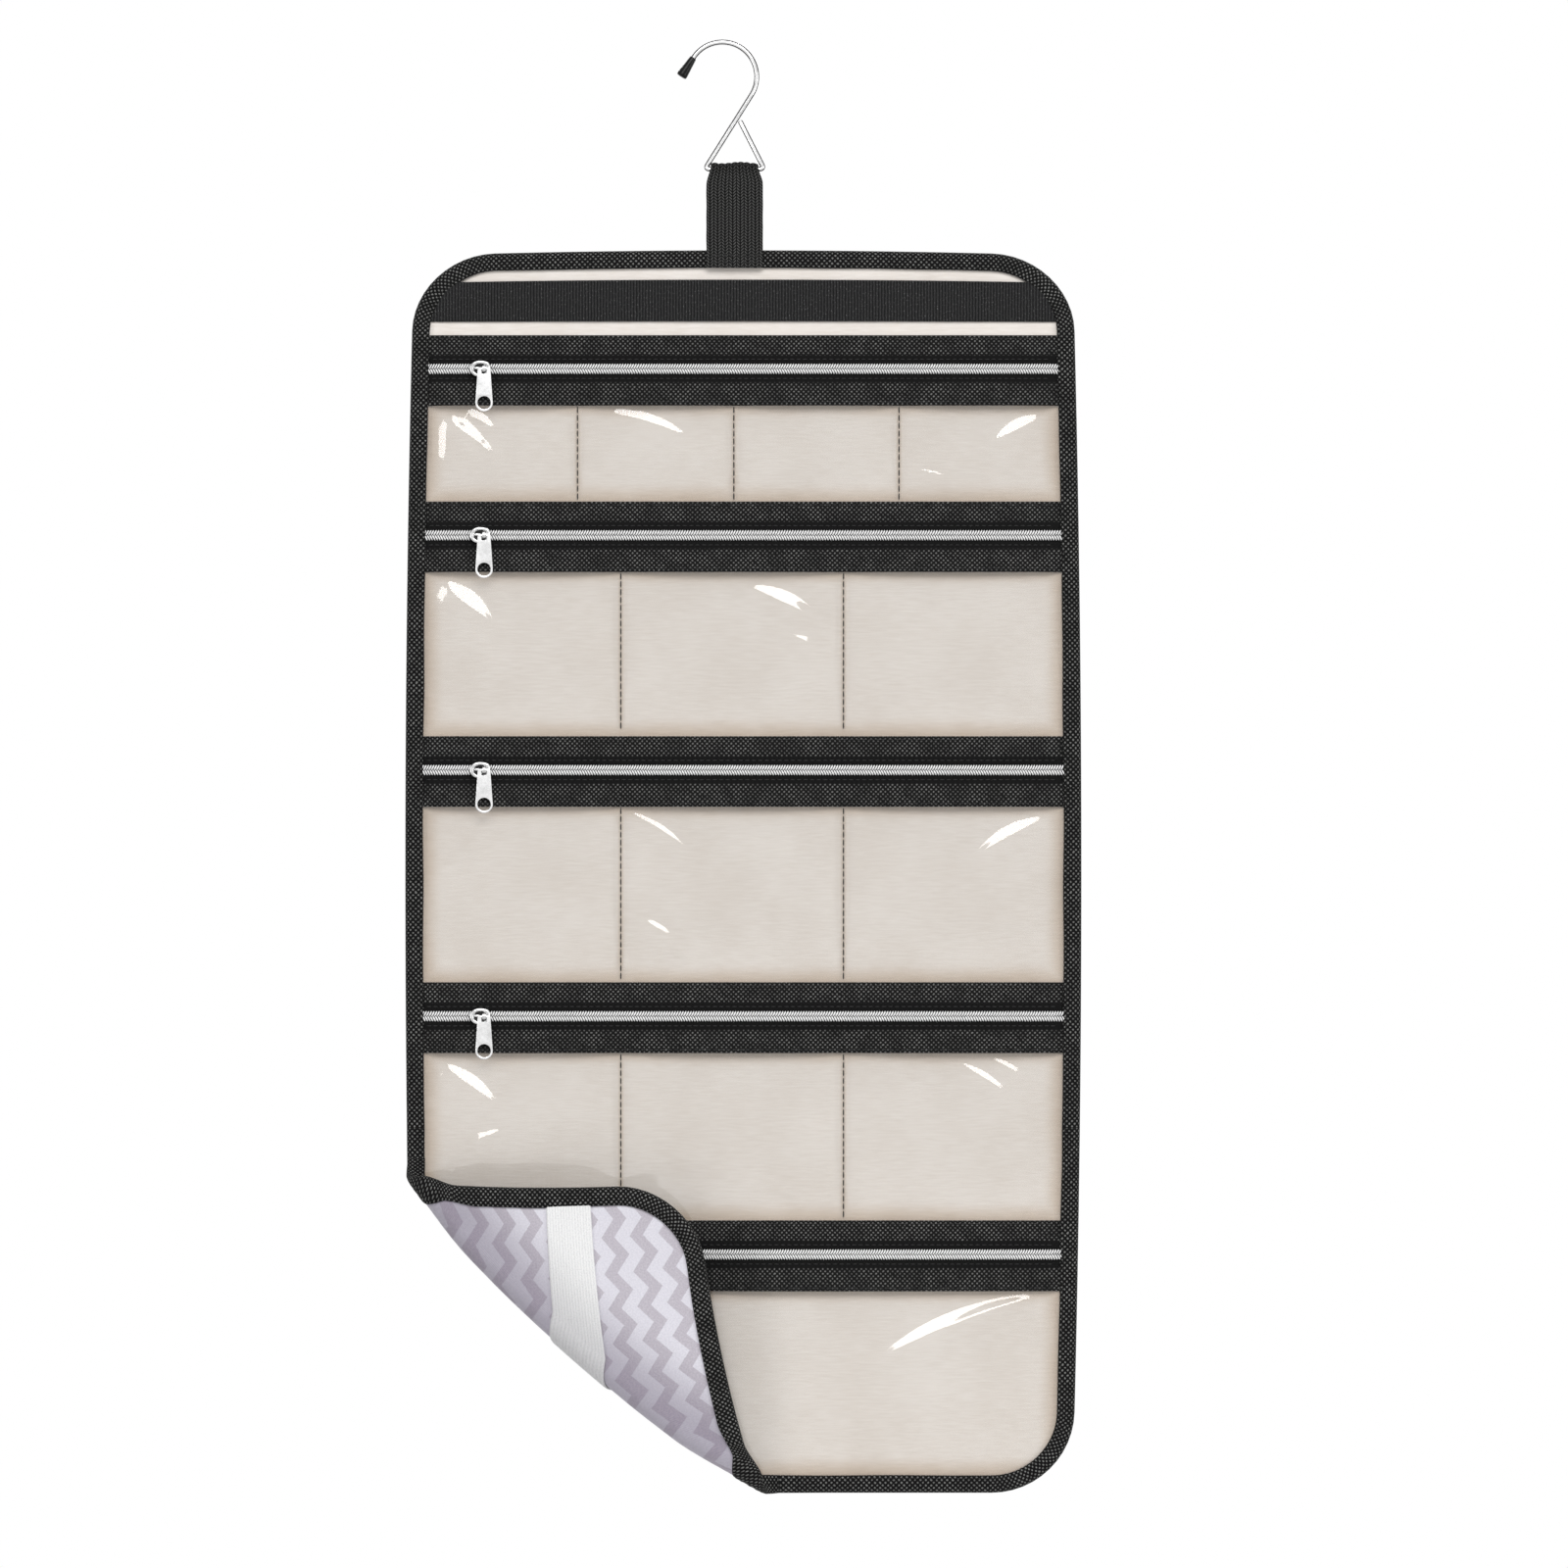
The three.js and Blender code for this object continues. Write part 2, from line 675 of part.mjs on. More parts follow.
// The wire's middle line, from the tip over the hook, down the shank, along the bar and up the cut end
function wirePath() {
  const middle = wireRadius - hookRadius;
  const onHook = (degrees) => {
    const angle = degrees * radians;
    return new THREE.Vector3(hookRadius * Math.cos(angle), 0, middle + hookRadius * Math.sin(angle));
  };
  const start = onHook(hookStartAngle);
  const tip = tipDirection();
  const path = new THREE.CurvePath();
  path.add(new THREE.LineCurve3(start.clone().addScaledVector(tip, tipBoreDepth - seamGap), start));
  const arcSteps = 24;
  for (let i = 0; i < arcSteps; i += 1) {
    const from = hookStartAngle + ((hookEndAngle - hookStartAngle) * i) / arcSteps;
    const to = hookStartAngle + ((hookEndAngle - hookStartAngle) * (i + 1)) / arcSteps;
    path.add(new THREE.LineCurve3(onHook(from), onHook(to)));
  }
  const corners = [
    new THREE.Vector3(barLeft, 0, -barDepth),
    new THREE.Vector3(barRight, 0, -barDepth),
    new THREE.Vector3(returnLegX, 0, returnLegHeight - barDepth),
  ];
  let from = onHook(hookEndAngle);
  corners.slice(0, -1).forEach((at, i) => {
    const inward = from.clone().sub(at).normalize();
    const outward = corners[i + 1].clone().sub(at).normalize();
    const bendStart = at.clone().addScaledVector(inward, barBend);
    const bendEnd = at.clone().addScaledVector(outward, barBend);
    path.add(new THREE.LineCurve3(from, bendStart));
    path.add(new THREE.QuadraticBezierCurve3(bendStart, at, bendEnd));
    from = bendEnd;
  });
  path.add(new THREE.LineCurve3(from, corners[2]));
  return path;
}

function tipDirection() {
  const angle = (hookStartAngle + 90) * radians;
  return new THREE.Vector3(Math.cos(angle), 0, Math.sin(angle));
}

function buildHook() {
  const circle = new THREE.Shape();
  circle.absarc(0, 0, wireRadius, 0, 2 * Math.PI, false);
  const options = { steps: 130, curveSegments: 5, bevelEnabled: false, extrudePath: wirePath() };
  add('hook_wire', new THREE.ExtrudeGeometry(circle, options), 'wire');

  const bore = wireRadius + layerGap / 2;
  const round = tipLargeRadius / 2;
  const profile = [
    [0, tipBoreDepth],
    [bore, tipBoreDepth],
    [bore, 0],
    [tipSmallRadius, 0],
    [tipLargeRadius, tipLength - round],
    [tipLargeRadius * 0.8, tipLength - round * 0.3],
    [0, tipLength],
  ].map(([r, along]) => new THREE.Vector2(r, along));
  const tip = add('hook_tip', new THREE.LatheGeometry(profile, 14), 'rubber');
  const direction = tipDirection();
  tip.quaternion.setFromUnitVectors(new THREE.Vector3(0, 1, 0), direction);
  const angle = hookStartAngle * radians;
  tip.position.set(hookRadius * Math.cos(angle), 0, wireRadius - hookRadius + hookRadius * Math.sin(angle));
}

// The webbing runs up the front, round the bar and down the back
function buildLoop() {
  const innerRadius = wireRadius + seamGap;
  const outerRadius = innerRadius + loopThickness;
  const frontIn = -Math.max(innerRadius, layerGap + bindingThickness + layerGap);
  const backIn = layersThickness + 2 * layerGap + bindingThickness;
  const foot = -loopDrop - loopOverlap;
  const shoulder = -loopDrop + 1;
  const outer = [
    [frontIn - loopThickness, foot],
    [frontIn - loopThickness, shoulder],
    [-outerRadius, -3 * outerRadius],
  ];
  const inner = [
    [backIn, foot],
    [backIn, shoulder],
    [innerRadius, -3 * outerRadius],
  ];
  const steps = 8;
  for (let i = 0; i <= steps; i += 1) {
    const angle = Math.PI - (i / steps) * Math.PI;
    outer.push([outerRadius * Math.cos(angle), outerRadius * Math.sin(angle)]);
    inner.push([innerRadius * Math.cos(Math.PI - angle), innerRadius * Math.sin(angle)]);
  }
  outer.push([outerRadius, -3 * outerRadius]);
  outer.push([backIn + loopThickness, shoulder], [backIn + loopThickness, foot]);
  inner.push([-innerRadius, -3 * outerRadius]);
  inner.push([frontIn, shoulder], [frontIn, foot]);
  const halfAt = (z) => {
    const blend = THREE.MathUtils.smoothstep(z, -4 * outerRadius, -outerRadius);
    return (loopWidth + (loopTopWidth - loopWidth) * blend) / 2;
  };
  const point = ([y, z], sign) => [loopShift + sign * halfAt(z), y, z - barDepth];
  const ends = [-1, 1];
  const ringsOf = (ordered) => ends.map((sign) => ordered.map((p) => point(p, sign)));
  add('hanging_loop', sweep([...outer, ...inner], ringsOf), 'webbing');
}

buildHook();
buildLoop();
buildPanels();
buildBindings();
buildClosure();
buildPockets();
buildSliders();

export default group;
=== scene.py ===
import math
from functools import partial

import bmesh
import bpy
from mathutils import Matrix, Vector, noise
from mathutils.geometry import tessellate_polygon


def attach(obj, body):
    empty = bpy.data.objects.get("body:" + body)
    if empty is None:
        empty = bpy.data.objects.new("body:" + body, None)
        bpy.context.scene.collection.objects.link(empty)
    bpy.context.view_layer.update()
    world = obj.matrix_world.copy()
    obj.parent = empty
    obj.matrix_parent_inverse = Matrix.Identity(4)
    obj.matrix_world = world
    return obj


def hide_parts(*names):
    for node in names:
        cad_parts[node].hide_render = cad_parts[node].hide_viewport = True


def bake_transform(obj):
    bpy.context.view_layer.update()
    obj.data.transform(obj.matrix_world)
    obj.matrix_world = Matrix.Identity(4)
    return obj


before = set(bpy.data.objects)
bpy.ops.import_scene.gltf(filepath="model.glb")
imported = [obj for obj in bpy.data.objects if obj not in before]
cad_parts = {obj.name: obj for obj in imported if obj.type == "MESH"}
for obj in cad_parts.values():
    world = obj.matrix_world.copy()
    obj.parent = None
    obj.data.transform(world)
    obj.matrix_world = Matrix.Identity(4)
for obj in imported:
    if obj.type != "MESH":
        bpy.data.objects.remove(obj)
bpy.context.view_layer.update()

# Lengths are in millimetres until a point is placed in space. A point of the laid-out panel is
# (x, d, n): x from its middle line, d down from its top edge, n forward of the lining.
panel = {
    "width": 302,
    "height": 555,
    "cornerRadius": 36,
    "sideBow": 4,
    "topCrown": 2.6,
    "shift": 9.4,
    "top": -91.7,
}

cornerTurn = {
    "angle": 42,
    "start": 105.74,  # from the sharp corner to the crease
    "span": 212.6,  # the crease's length
    "sideEnd": 412.7,  # how far down the left side the crease starts
    "bow": 4.8,  # the crease is bowed, by this much over bowHalf either way from bowMiddle
    "bowMiddle": 98,
    "bowHalf": 106,
    "bowTop": 0.4,
    "tight": 3.0,  # bend radius at the crease's ends
    "loose": 2.5,  # added to it by the middle
    "flat": -24,  # cloth this far before the crease is left as it is
    "squeeze": 0.45,  # share of the thickness left at the ends
    "squeezeReach": 45,
    "squeezeBeside": 14,
    "rise": 6.0,  # how much further the corner stands off beyond the bend
    "riseReach": 30,
    "gather": 3.6,  # how far its edges swing out beside the bend
    "gatherReach": 14,
    "gatherDepth": 26,
}
creaseAngle = math.radians(cornerTurn["angle"])
alongCrease = (math.cos(creaseAngle), math.sin(creaseAngle))
offCrease = (-alongCrease[1], alongCrease[0])

columnPlan = {"half": 151, "straight": 100}  # columns outside the straight part follow the panel's sides
mapUnit = 100  # millimetres of laid-out cloth to one unit of its map
bindingReach = 8.1  # how far the binding covers the panel's front


# shapes

def smooth(low, high, value):
    t = min(max((value - low) / (high - low), 0.0), 1.0)
    return t * t * (3 - 2 * t)


def mix(a, b, t):
    return a + (b - a) * t


def circle(count):
    return [2 * math.pi * i / count for i in range(count)]


def ripple(x, y, size, seed=0.0):
    return noise.noise(Vector((x / size, y / size, seed)))


def toSpace(x, d, n):
    return Vector((x + panel["shift"], -n, panel["top"] - d)) / 1000


def creaseDistance(x, d):
    out = (x + panel["width"] / 2) * offCrease[0] + (d - panel["height"]) * offCrease[1]
    return cornerTurn["start"] + out


def creasePlace(x, d):
    # how far along the crease a place lies, from the left side
    return (x + panel["width"] / 2) * alongCrease[0] + (d - cornerTurn["sideEnd"]) * alongCrease[1]


def creaseBow(u):
    return cornerTurn["bowTop"] - cornerTurn["bow"] * ((u - cornerTurn["bowMiddle"]) / cornerTurn["bowHalf"]) ** 2


def bendRadius(u):
    share = min(max(u / cornerTurn["span"], 0.0), 1.0)
    return cornerTurn["tight"] + cornerTurn["loose"] * math.sin(math.pi * share) ** 0.8


def turned(x, d):
    # a direction on the flat panel as it points once the corner is over
    across = 2 * (x * offCrease[0] + d * offCrease[1])
    return x - across * offCrease[0], d - across * offCrease[1]


turnedLeft, turnedDown = turned(-1, 0), turned(0, 1)


def gathers(x, d, beyond):
    # the swing of the turned corner's two edges, largest beside the bend
    reach, depth = cornerTurn["gatherReach"], cornerTurn["gatherDepth"]
    left = 1 - smooth(0, reach, beyond / offCrease[1])
    left *= 1 - smooth(0, depth, x + panel["width"] / 2)
    bottom = 1 - smooth(0, reach, -beyond / offCrease[0])
    bottom *= 1 - smooth(0, depth, panel["height"] - d)
    return cornerTurn["gather"] * left, cornerTurn["gather"] * bottom


def turnCorner(x, d, n):
    # lays a point of the flat panel round the turned corner's crease
    u = creasePlace(x, d)
    s = creaseDistance(x, d) - creaseBow(u)
    if s < cornerTurn["flat"]:
        return x, d, n
    radius = bendRadius(u)
    bend = math.pi * radius
    if n < 0:
        beside = cornerTurn["squeezeBeside"]
        near = smooth(-beside, 0, s) * (1 - smooth(bend, bend + beside, s))
        ends = 1 - smooth(0, cornerTurn["squeezeReach"], min(u, cornerTurn["span"] - u))
        depth = n * (1 - (1 - cornerTurn["squeeze"]) * ends * near)
    else:
        depth = mix(n, radius * (1 - math.exp(-n / radius)), smooth(-12, 0, s))
    if s <= 0:
        return x, d, depth
    angle = min(s / radius, math.pi)
    move = (radius - depth) * math.sin(angle) - max(s - bend, 0) - s
    forward = radius - (radius - depth) * math.cos(angle)
    arch = math.sin(math.pi * min(max(u / cornerTurn["span"], 0), 1))
    forward += cornerTurn["rise"] * arch * smooth(0.35 * bend, bend + cornerTurn["riseReach"], s)
    started = smooth(0.1 * bend, bend, s)
    left, bottom = (swing * started for swing in gathers(x, d, s - bend))
    newX = x + move * offCrease[0] + left * turnedLeft[0] + bottom * turnedDown[0]
    newD = d + move * offCrease[1] + left * turnedLeft[1] + bottom * turnedDown[1]
    return newX, newD, forward


def drape(x, d, n):
    return toSpace(*turnCorner(x, d, n))


def halfWidthAt(d):
    return panel["width"] / 2 - panel["sideBow"] * (2 * d / panel["height"] - 1) ** 2

def besideBinding(x, d):
    return halfWidthAt(d) - bindingReach - abs(x)


def crownAt(x, d):
    across = 2 * x / panel["width"]
    return panel["topCrown"] * across * across * max(0, 1 - d / panel["cornerRadius"])


def reachAt(d, inset):
    # half the width of the outline, drawn in by an inset
    radius = panel["cornerRadius"]
    near = min(d, panel["height"] - d)
    half = halfWidthAt(d)
    if near >= radius:
        return half - inset
    rise = min((radius - near) / (radius - inset), 1)
    return half - radius + (radius - inset) * math.sqrt(1 - rise * rise)


def steps(start, stop, size):
    count = max(1, math.ceil((stop - start) / size - 1e-6))
    return [start + (stop - start) * i / count for i in range(count + 1)]


def closeSteps(start, stop, busy, coarse=2.6, close=0.95, beside=6):
    # steps that are short in the busy stretches and beside them
    found = [start]
    while found[-1] < stop:
        near = any(low - beside < found[-1] < high + beside for low, high in busy)
        found.append(found[-1] + (close if near else coarse))
    return [at for at in found if at < stop - 0.3] + [stop]


def columns(size):
    return steps(-columnPlan["half"], columnPlan["half"], size)


def flatPatch(across, down, inset):
    # a flat grid of cloth, (x, d), whose sides follow the panel's outline
    cloth = bmesh.new()
    straight = columnPlan["straight"]
    outer = columnPlan["half"] - straight
    grid = []
    for d in down:
        reach = reachAt(d, inset)
        row = []
        for x in across:
            if abs(x) > straight:
                x = math.copysign(straight + (abs(x) - straight) * (reach - straight) / outer, x)
            row.append(cloth.verts.new((x, d + crownAt(x, d), 0)))
        grid.append(row)
    for above, below in zip(grid, grid[1:]):
        for i in range(len(above) - 1):
            cloth.faces.new((above[i], above[i + 1], below[i + 1], below[i]))
    return cloth


def creaseCut(cloth, s, dropNear=False, dropFar=False):
    place = (
        -panel["width"] / 2 + s * offCrease[0],
        panel["height"] - cornerTurn["start"] / offCrease[1] + s * offCrease[1],
        0,
    )
    bmesh.ops.bisect_plane(
        cloth,
        geom=cloth.verts[:] + cloth.edges[:] + cloth.faces[:],
        dist=1e-5,
        plane_co=place,
        plane_no=(offCrease[0], offCrease[1], 0),
        clear_inner=dropNear,
        clear_outer=dropFar,
    )


# the turned edge's own piece of cloth lies between these two lines; each piece has rows beside them
bendStart, bendEnd = -6, 19
creaseRows = {
    "bottom": (-20, -14, -10, -8),
    "bend": steps(bendStart, bendEnd, 0.8)[1:-1],
    "corner": (20.5, 22, 24, 27, 31),
}


def creasePart(cloth, part):
    # keeps the part of a piece of cloth that lies before, on or beyond the turned edge
    if part != "bottom":
        creaseCut(cloth, bendStart if part == "bend" else bendEnd, dropNear=True)
    if part != "corner":
        creaseCut(cloth, bendEnd if part == "bend" else bendStart, dropFar=True)
    for s in creaseRows[part]:
        creaseCut(cloth, s)


def addObject(name, data):
    made = bpy.data.objects.new(name, data)
    bpy.context.scene.collection.objects.link(made)
    return made


def mapPlaces(mesh, name, places):
    layer = mesh.uv_layers.new(name=name)
    for loop, corner in zip(mesh.loops, layer.data):
        corner.uv = places[loop.vertex_index]


def piece(name, points, faces, spots, look, slotName=None, sharp=50, edgeAt=None):
    # a new object from points in space, with the flat place of each point for its weave;
    # edgeAt gives the distance to the edge near which its finish paints shade
    mesh = bpy.data.meshes.new(name)
    mesh.from_pydata([tuple(p) for p in points], [], faces)
    shape = bmesh.new()
    shape.from_mesh(mesh)
    bmesh.ops.recalc_face_normals(shape, faces=shape.faces)
    shape.to_mesh(mesh)
    shape.free()
    mapPlaces(mesh, "flat", [(x / mapUnit, y / mapUnit) for x, y in spots])
    if edgeAt:
        mapPlaces(mesh, "edge", [(edgeAt(x, y) / mapUnit, 0) for x, y in spots])
    mesh.polygons.foreach_set("use_smooth", [True] * len(mesh.polygons))
    mesh.set_sharp_from_angle(angle=math.radians(sharp))
    mesh.materials.append(finishes[look])
    made = addObject(name, mesh)
    slotName or look
    return made


def thicken(name, cloth, frontAt, backAt, look, edgeAt=None):
    # gives flat cloth a front and a back, and lays it in place
    cloth.verts.index_update()
    flat = [(v.co.x, v.co.y) for v in cloth.verts]
    count = len(flat)
    points = [drape(x, d, surface(x, d)) for surface in (frontAt, backAt) for x, d in flat]
    faces = []
    for face in cloth.faces:
        ring = [v.index for v in face.verts]
        faces.append(ring[::-1])
        faces.append([i + count for i in ring])
    for edge in cloth.edges:
        if len(edge.link_faces) == 1:
            a, b = (v.index for v in edge.verts)
            faces.append((a, b, b + count, a + count))
    cloth.free()
    return piece(name, points, faces, flat + flat, look, edgeAt=edgeAt)


class Bunch:
    # many small solids that make one object
    def __init__(self):
        self.points = []
        self.faces = []
        self.spots = []

    def walls(self, base, size, count):
        # faces between rings of points that follow one another
        for low in range(base, base + (count - 1) * size, size):
            for i in range(size):
                j = (i + 1) % size
                self.faces.append((low + i, low + j, low + size + j, low + size + i))

    def loft(self, rings, spots=None):
        base = len(self.points)
        size = len(rings[0])
        for r, ring in enumerate(rings):
            self.points.extend(ring)
            self.spots.extend(spots[r] if spots else [(i, r) for i in range(size)])
        self.walls(base, size, len(rings))
        last = base + (len(rings) - 1) * size
        self.faces.append(tuple(base + i for i in range(size))[::-1])
        self.faces.append(tuple(last + i for i in range(size)))

    def tube(self, path, radii, sides=6):
        rings = []
        for i, at in enumerate(path):
            ahead = (path[min(i + 1, len(path) - 1)] - path[max(i - 1, 0)]).normalized()
            side = ahead.cross(Vector((0, -1, 0))).normalized()
            rise = side.cross(ahead).normalized()
            rings.append([at + radii[i] * (math.cos(a) * side + math.sin(a) * rise) for a in circle(sides)])
        self.loft(rings)

    def make(self, name, look, slotName=None, sharp=50):
        return piece(name, self.points, self.faces, self.spots, look, slotName, sharp)


def stitch(bunch, start, end, radius):
    # one thread stitch between two points of the laid-out panel, sunk at its ends
    path = []
    for t in (0, 0.22, 0.5, 0.78, 1):
        x, d, n = (mix(a, b, t) for a, b in zip(start, end))
        path.append(drape(x, d, n + 0.28 * math.sin(math.pi * t)))
    bunch.tube(path, [r * radius / 1000 for r in (0.45, 0.95, 1, 0.95, 0.45)])


# rows of pockets

rowPlan = {
    "below": 38.1,  # from the panel's top edge to the first upper band
    "foot": 8.4,  # from the last row to the panel's bottom edge
    "shares": (0.146, 0.206, 0.216, 0.209, 0.223),
    "seams": ((-0.245, -0.014, 0.23), (-0.181, 0.148), (-0.181, 0.148), (-0.181, 0.148), ()),
    "upperBand": 12.9,
    "tapeHalf": 2.2,
    "lowerBand": 14.2,
    "half": 147,
}
rowsHeight = panel["height"] - rowPlan["foot"] - rowPlan["below"]
rows = []
shareAbove = 0
for index, share in enumerate(rowPlan["shares"]):
    top = rowPlan["below"] + rowsHeight * shareAbove
    shareAbove += share
    zipAt = top + rowPlan["upperBand"] + rowPlan["tapeHalf"]
    rows.append({
        "number": index + 1,
        "top": top,
        "zip": zipAt,
        "bandEnd": zipAt - rowPlan["tapeHalf"],
        "lowerStart": zipAt + rowPlan["tapeHalf"],
        "windowTop": zipAt + rowPlan["tapeHalf"] + rowPlan["lowerBand"],
        "bottom": rowPlan["below"] + rowsHeight * shareAbove,
        "seams": [s * panel["width"] for s in rowPlan["seams"][index]],
    })

# where the roll folds, and where its cloths are parted between the folds
upperFold, lowerFold = rows[1]["bandEnd"], rows[3]["windowTop"]
upperSplit, lowerSplit = 240, 392
foldReach = 12.2
folds = {
    # name: (body before, body after, from, to)
    "upper": ("top_panel", "middle_panel", (0, upperFold - foldReach, 0), (0, upperFold, 0)),
    "lower": ("middle_panel", "bottom_panel", (0, lowerFold - foldReach, 0), (0, lowerFold, 0)),
    "corner": ("bottom_panel", "corner_flap", (-80, 480, 0), (-80, 480, 6)),
    "cornerFront": ("bottom_panel", "corner_flap", (-80, 480, 2), (-80, 480, 4)),
}


def settle(made, hold, nodes=None):
    # a piece stands for CAD nodes, and rides on a body, or lies fixed across a fold
    if nodes is not None:
        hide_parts(*nodes)
    if hold in folds:
        bodyBefore, bodyAfter, start, end = folds[hold]
        toSpace(*start)
        toSpace(*end)
        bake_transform(made)
    else:
        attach(made, hold)


def withFoldRows(rowsDown):
    # adds close rows where the roll folds, the same in every layer, so that folded layers keep their order
    top, bottom = min(rowsDown), max(rowsDown)
    found = set(rowsDown)
    for fold in (upperFold, lowerFold):
        inside = [d for d in steps(fold - foldReach, fold, 1.3) if top < d < bottom]
        if inside:
            found = {d for d in found if not inside[0] - 0.2 < d < inside[-1] + 0.2}
            found.update(inside, (top, bottom))
    return sorted(found)


def cellLift(row, x):
    # 0 at the seams and sides of a row, 1 in the middle of its cells
    walls = [-rowPlan["half"]] + row["seams"] + [rowPlan["half"]]
    for left, right in zip(walls, walls[1:]):
        if left <= x <= right:
            t = (x - left) / (right - left)
            return 1 - abs(2 * t - 1) ** 2.6
    return 0.0


def underBinding(x, d, deep=0.3):
    # how far a pocket piece keeps its height beside the binding, which presses its ends down
    return mix(deep, 1, smooth(-0.5, 4.5, besideBinding(x, d)))


def underFlap(x, d):
    # pocket pieces lie flatter under the turned corner, whose right edge slopes
    beyondEdge = smooth(-25, 2, x - 0.23 * (d - 420))
    return 1 - 0.75 * smooth(404, 418, d) * (1 - beyondEdge)


# finishes

class Strand:
    # a node's output that can be used in sums
    def __init__(self, finish, socket):
        self.finish = finish
        self.socket = socket

    def step(self, operation, *others):
        return self.finish.math(operation, self, *others)

    def __add__(self, other):
        return self.step("ADD", other)

    __radd__ = __add__

    def __sub__(self, other):
        return self.step("SUBTRACT", other)

    def __rsub__(self, other):
        return self.finish.math("SUBTRACT", other, self)

    def __mul__(self, other):
        return self.step("MULTIPLY", other)

    def __truediv__(self, other):
        return self.step("DIVIDE", other)


class Finish:
    def __init__(self, name, owner=None):
        self.owner = owner or bpy.data.materials.new(name)
        self.owner.use_nodes = True
        self.tree = self.owner.node_tree
        self.tree.nodes.clear()

    def node(self, kind, settings=None, inputs=(), output=0):
        made = self.tree.nodes.new(kind)
        for key, value in (settings or {}).items():
            setattr(made, key, value)
        pairs = inputs.items() if isinstance(inputs, dict) else enumerate(inputs)
        for key, value in pairs:
            if isinstance(value, Strand):
                self.tree.links.new(value.socket, made.inputs[key])
            else:
                made.inputs[key].default_value = value
        return Strand(self, made.outputs[output]) if made.outputs else None

    def math(self, operation, *values):
        return self.node("ShaderNodeMath", {"operation": operation}, values)

    def clothPlace(self):
        # the place on the laid-out cloth in millimetres: x, y, and both as one
        flat = self.node("ShaderNodeUVMap", {"uv_map": "flat"})
        x, y = (self.node("ShaderNodeSeparateXYZ", None, (flat,), axis) * mapUnit for axis in (0, 1))
        return x, y, self.join(x, y)

    def edgeDistance(self):
        edge = self.node("ShaderNodeUVMap", {"uv_map": "edge"})
        return self.node("ShaderNodeSeparateXYZ", None, (edge,)) * mapUnit

    def objectPlace(self):
        return self.node("ShaderNodeTexCoord", None, (), "Object")

    def paintedFoldShade(self, x, y):
        # painted shade, strongest on the turned corner's bend and fading away from it
        start = cornerTurn["start"] + panel["width"] / 2 * offCrease[0] - panel["height"] * offCrease[1]
        s = x * offCrease[0] + y * offCrease[1] + start
        return self.between(s, -6, 9) * self.between(s, 44, 12)

    def join(self, x, y):
        return self.node("ShaderNodeCombineXYZ", None, (x, y, 0.0))

    def wave(self, value, pitch):
        return (value * (2 * math.pi / pitch)).step("SINE")

    def cloud(self, place, size, detail=2.0, rough=0.5):
        settings = {"Vector": place, "Scale": 1 / size, "Detail": detail, "Roughness": rough}
        return self.node("ShaderNodeTexNoise", {"noise_dimensions": "3D"}, settings)

    def between(self, value, low, high):
        settings = {"interpolation_type": "SMOOTHSTEP"}
        return self.node("ShaderNodeMapRange", settings, {"Value": value, "From Min": low, "From Max": high})

    def dots(self, x, y, pitch, radius):
        # rows of round dots, every other row shifted by half
        found = None
        for shift in (0.0, 0.5):
            across, along = (((at / pitch + shift).step("FRACT") - 0.5) * pitch for at in (x, y))
            spot = self.between((across * across + along * along).step("SQRT"), radius, radius * 0.35)
            found = spot if found is None else found.step("MAXIMUM", spot)
        return found

    def shade(self, factor, dark, light):
        inputs = {0: factor}
        for key, color in ((6, dark), (7, light)):
            inputs[key] = color if isinstance(color, Strand) else (*color, 1)
        return self.node("ShaderNodeMix", {"data_type": "RGBA"}, inputs, 2)

    def bump(self, height, depth):
        return self.node("ShaderNodeBump", None, {"Strength": 1.0, "Distance": depth / 1000, "Height": height})

    def surface(self, **inputs):
        named = {key.replace("_", " "): value for key, value in inputs.items()}
        for key in ("Base Color", "Specular Tint"):
            if key in named and not isinstance(named[key], Strand):
                named[key] = (*named[key], 1)
        return self.node("ShaderNodeBsdfPrincipled", None, named)

    def done(self, shader):
        self.node("ShaderNodeOutputMaterial", None, {"Surface": shader})
        return self.owner

    def matte(self, color, rough, height, depth, shine=0.5, sheen=0.0):
        # a material that isn't metal, whose weave or grain stands out by a depth in millimetres
        return self.done(self.surface(
            Base_Color=color, Roughness=rough, Specular_IOR_Level=shine, Sheen_Weight=sheen,
            Normal=self.bump(height, depth),
        ))


def linear(*levels):
    # one level of grey or three of colour, from 0 to 255
    levels = levels * 3 if len(levels) == 1 else levels
    return tuple((v / 255 / 12.92) if v <= 10 else ((v / 255 + 0.055) / 1.055) ** 2.4 for v in levels)


def wovenBlack(name, pitch, radius, patchiness, base, dot, zipEdgeShade=False):
    # black cloth whose weave shows rows of paler specks, stronger in some places
    f = Finish(name)
    x, y, place = f.clothPlace()
    wobble = (f.cloud(place, 1.6, 1.0) - 0.5) * 0.9
    grain = f.cloud(place, 0.7, 2.0)
    spot = f.dots(x + wobble, y - wobble * 0.6, pitch, radius)
    patch = f.between(f.cloud(place, 9.0, 1.0), 0.38, 0.62) * patchiness + (1 - patchiness)
    # partly painted shade: within about 4 mm of the zip the specks fade out, so the band shows plain dark there; the
    # smooth folded edge is real, its darkness is painted shade
    if zipEdgeShade:
        patch = patch * f.between(f.edgeDistance(), 3.4, 4.6)
    color = f.shade(spot * patch * (0.4 + grain), linear(*base), linear(*dot))
    return f.matte(color, 0.8, spot * 0.8 + grain * 0.35, 0.22, 0.08, 0.02)


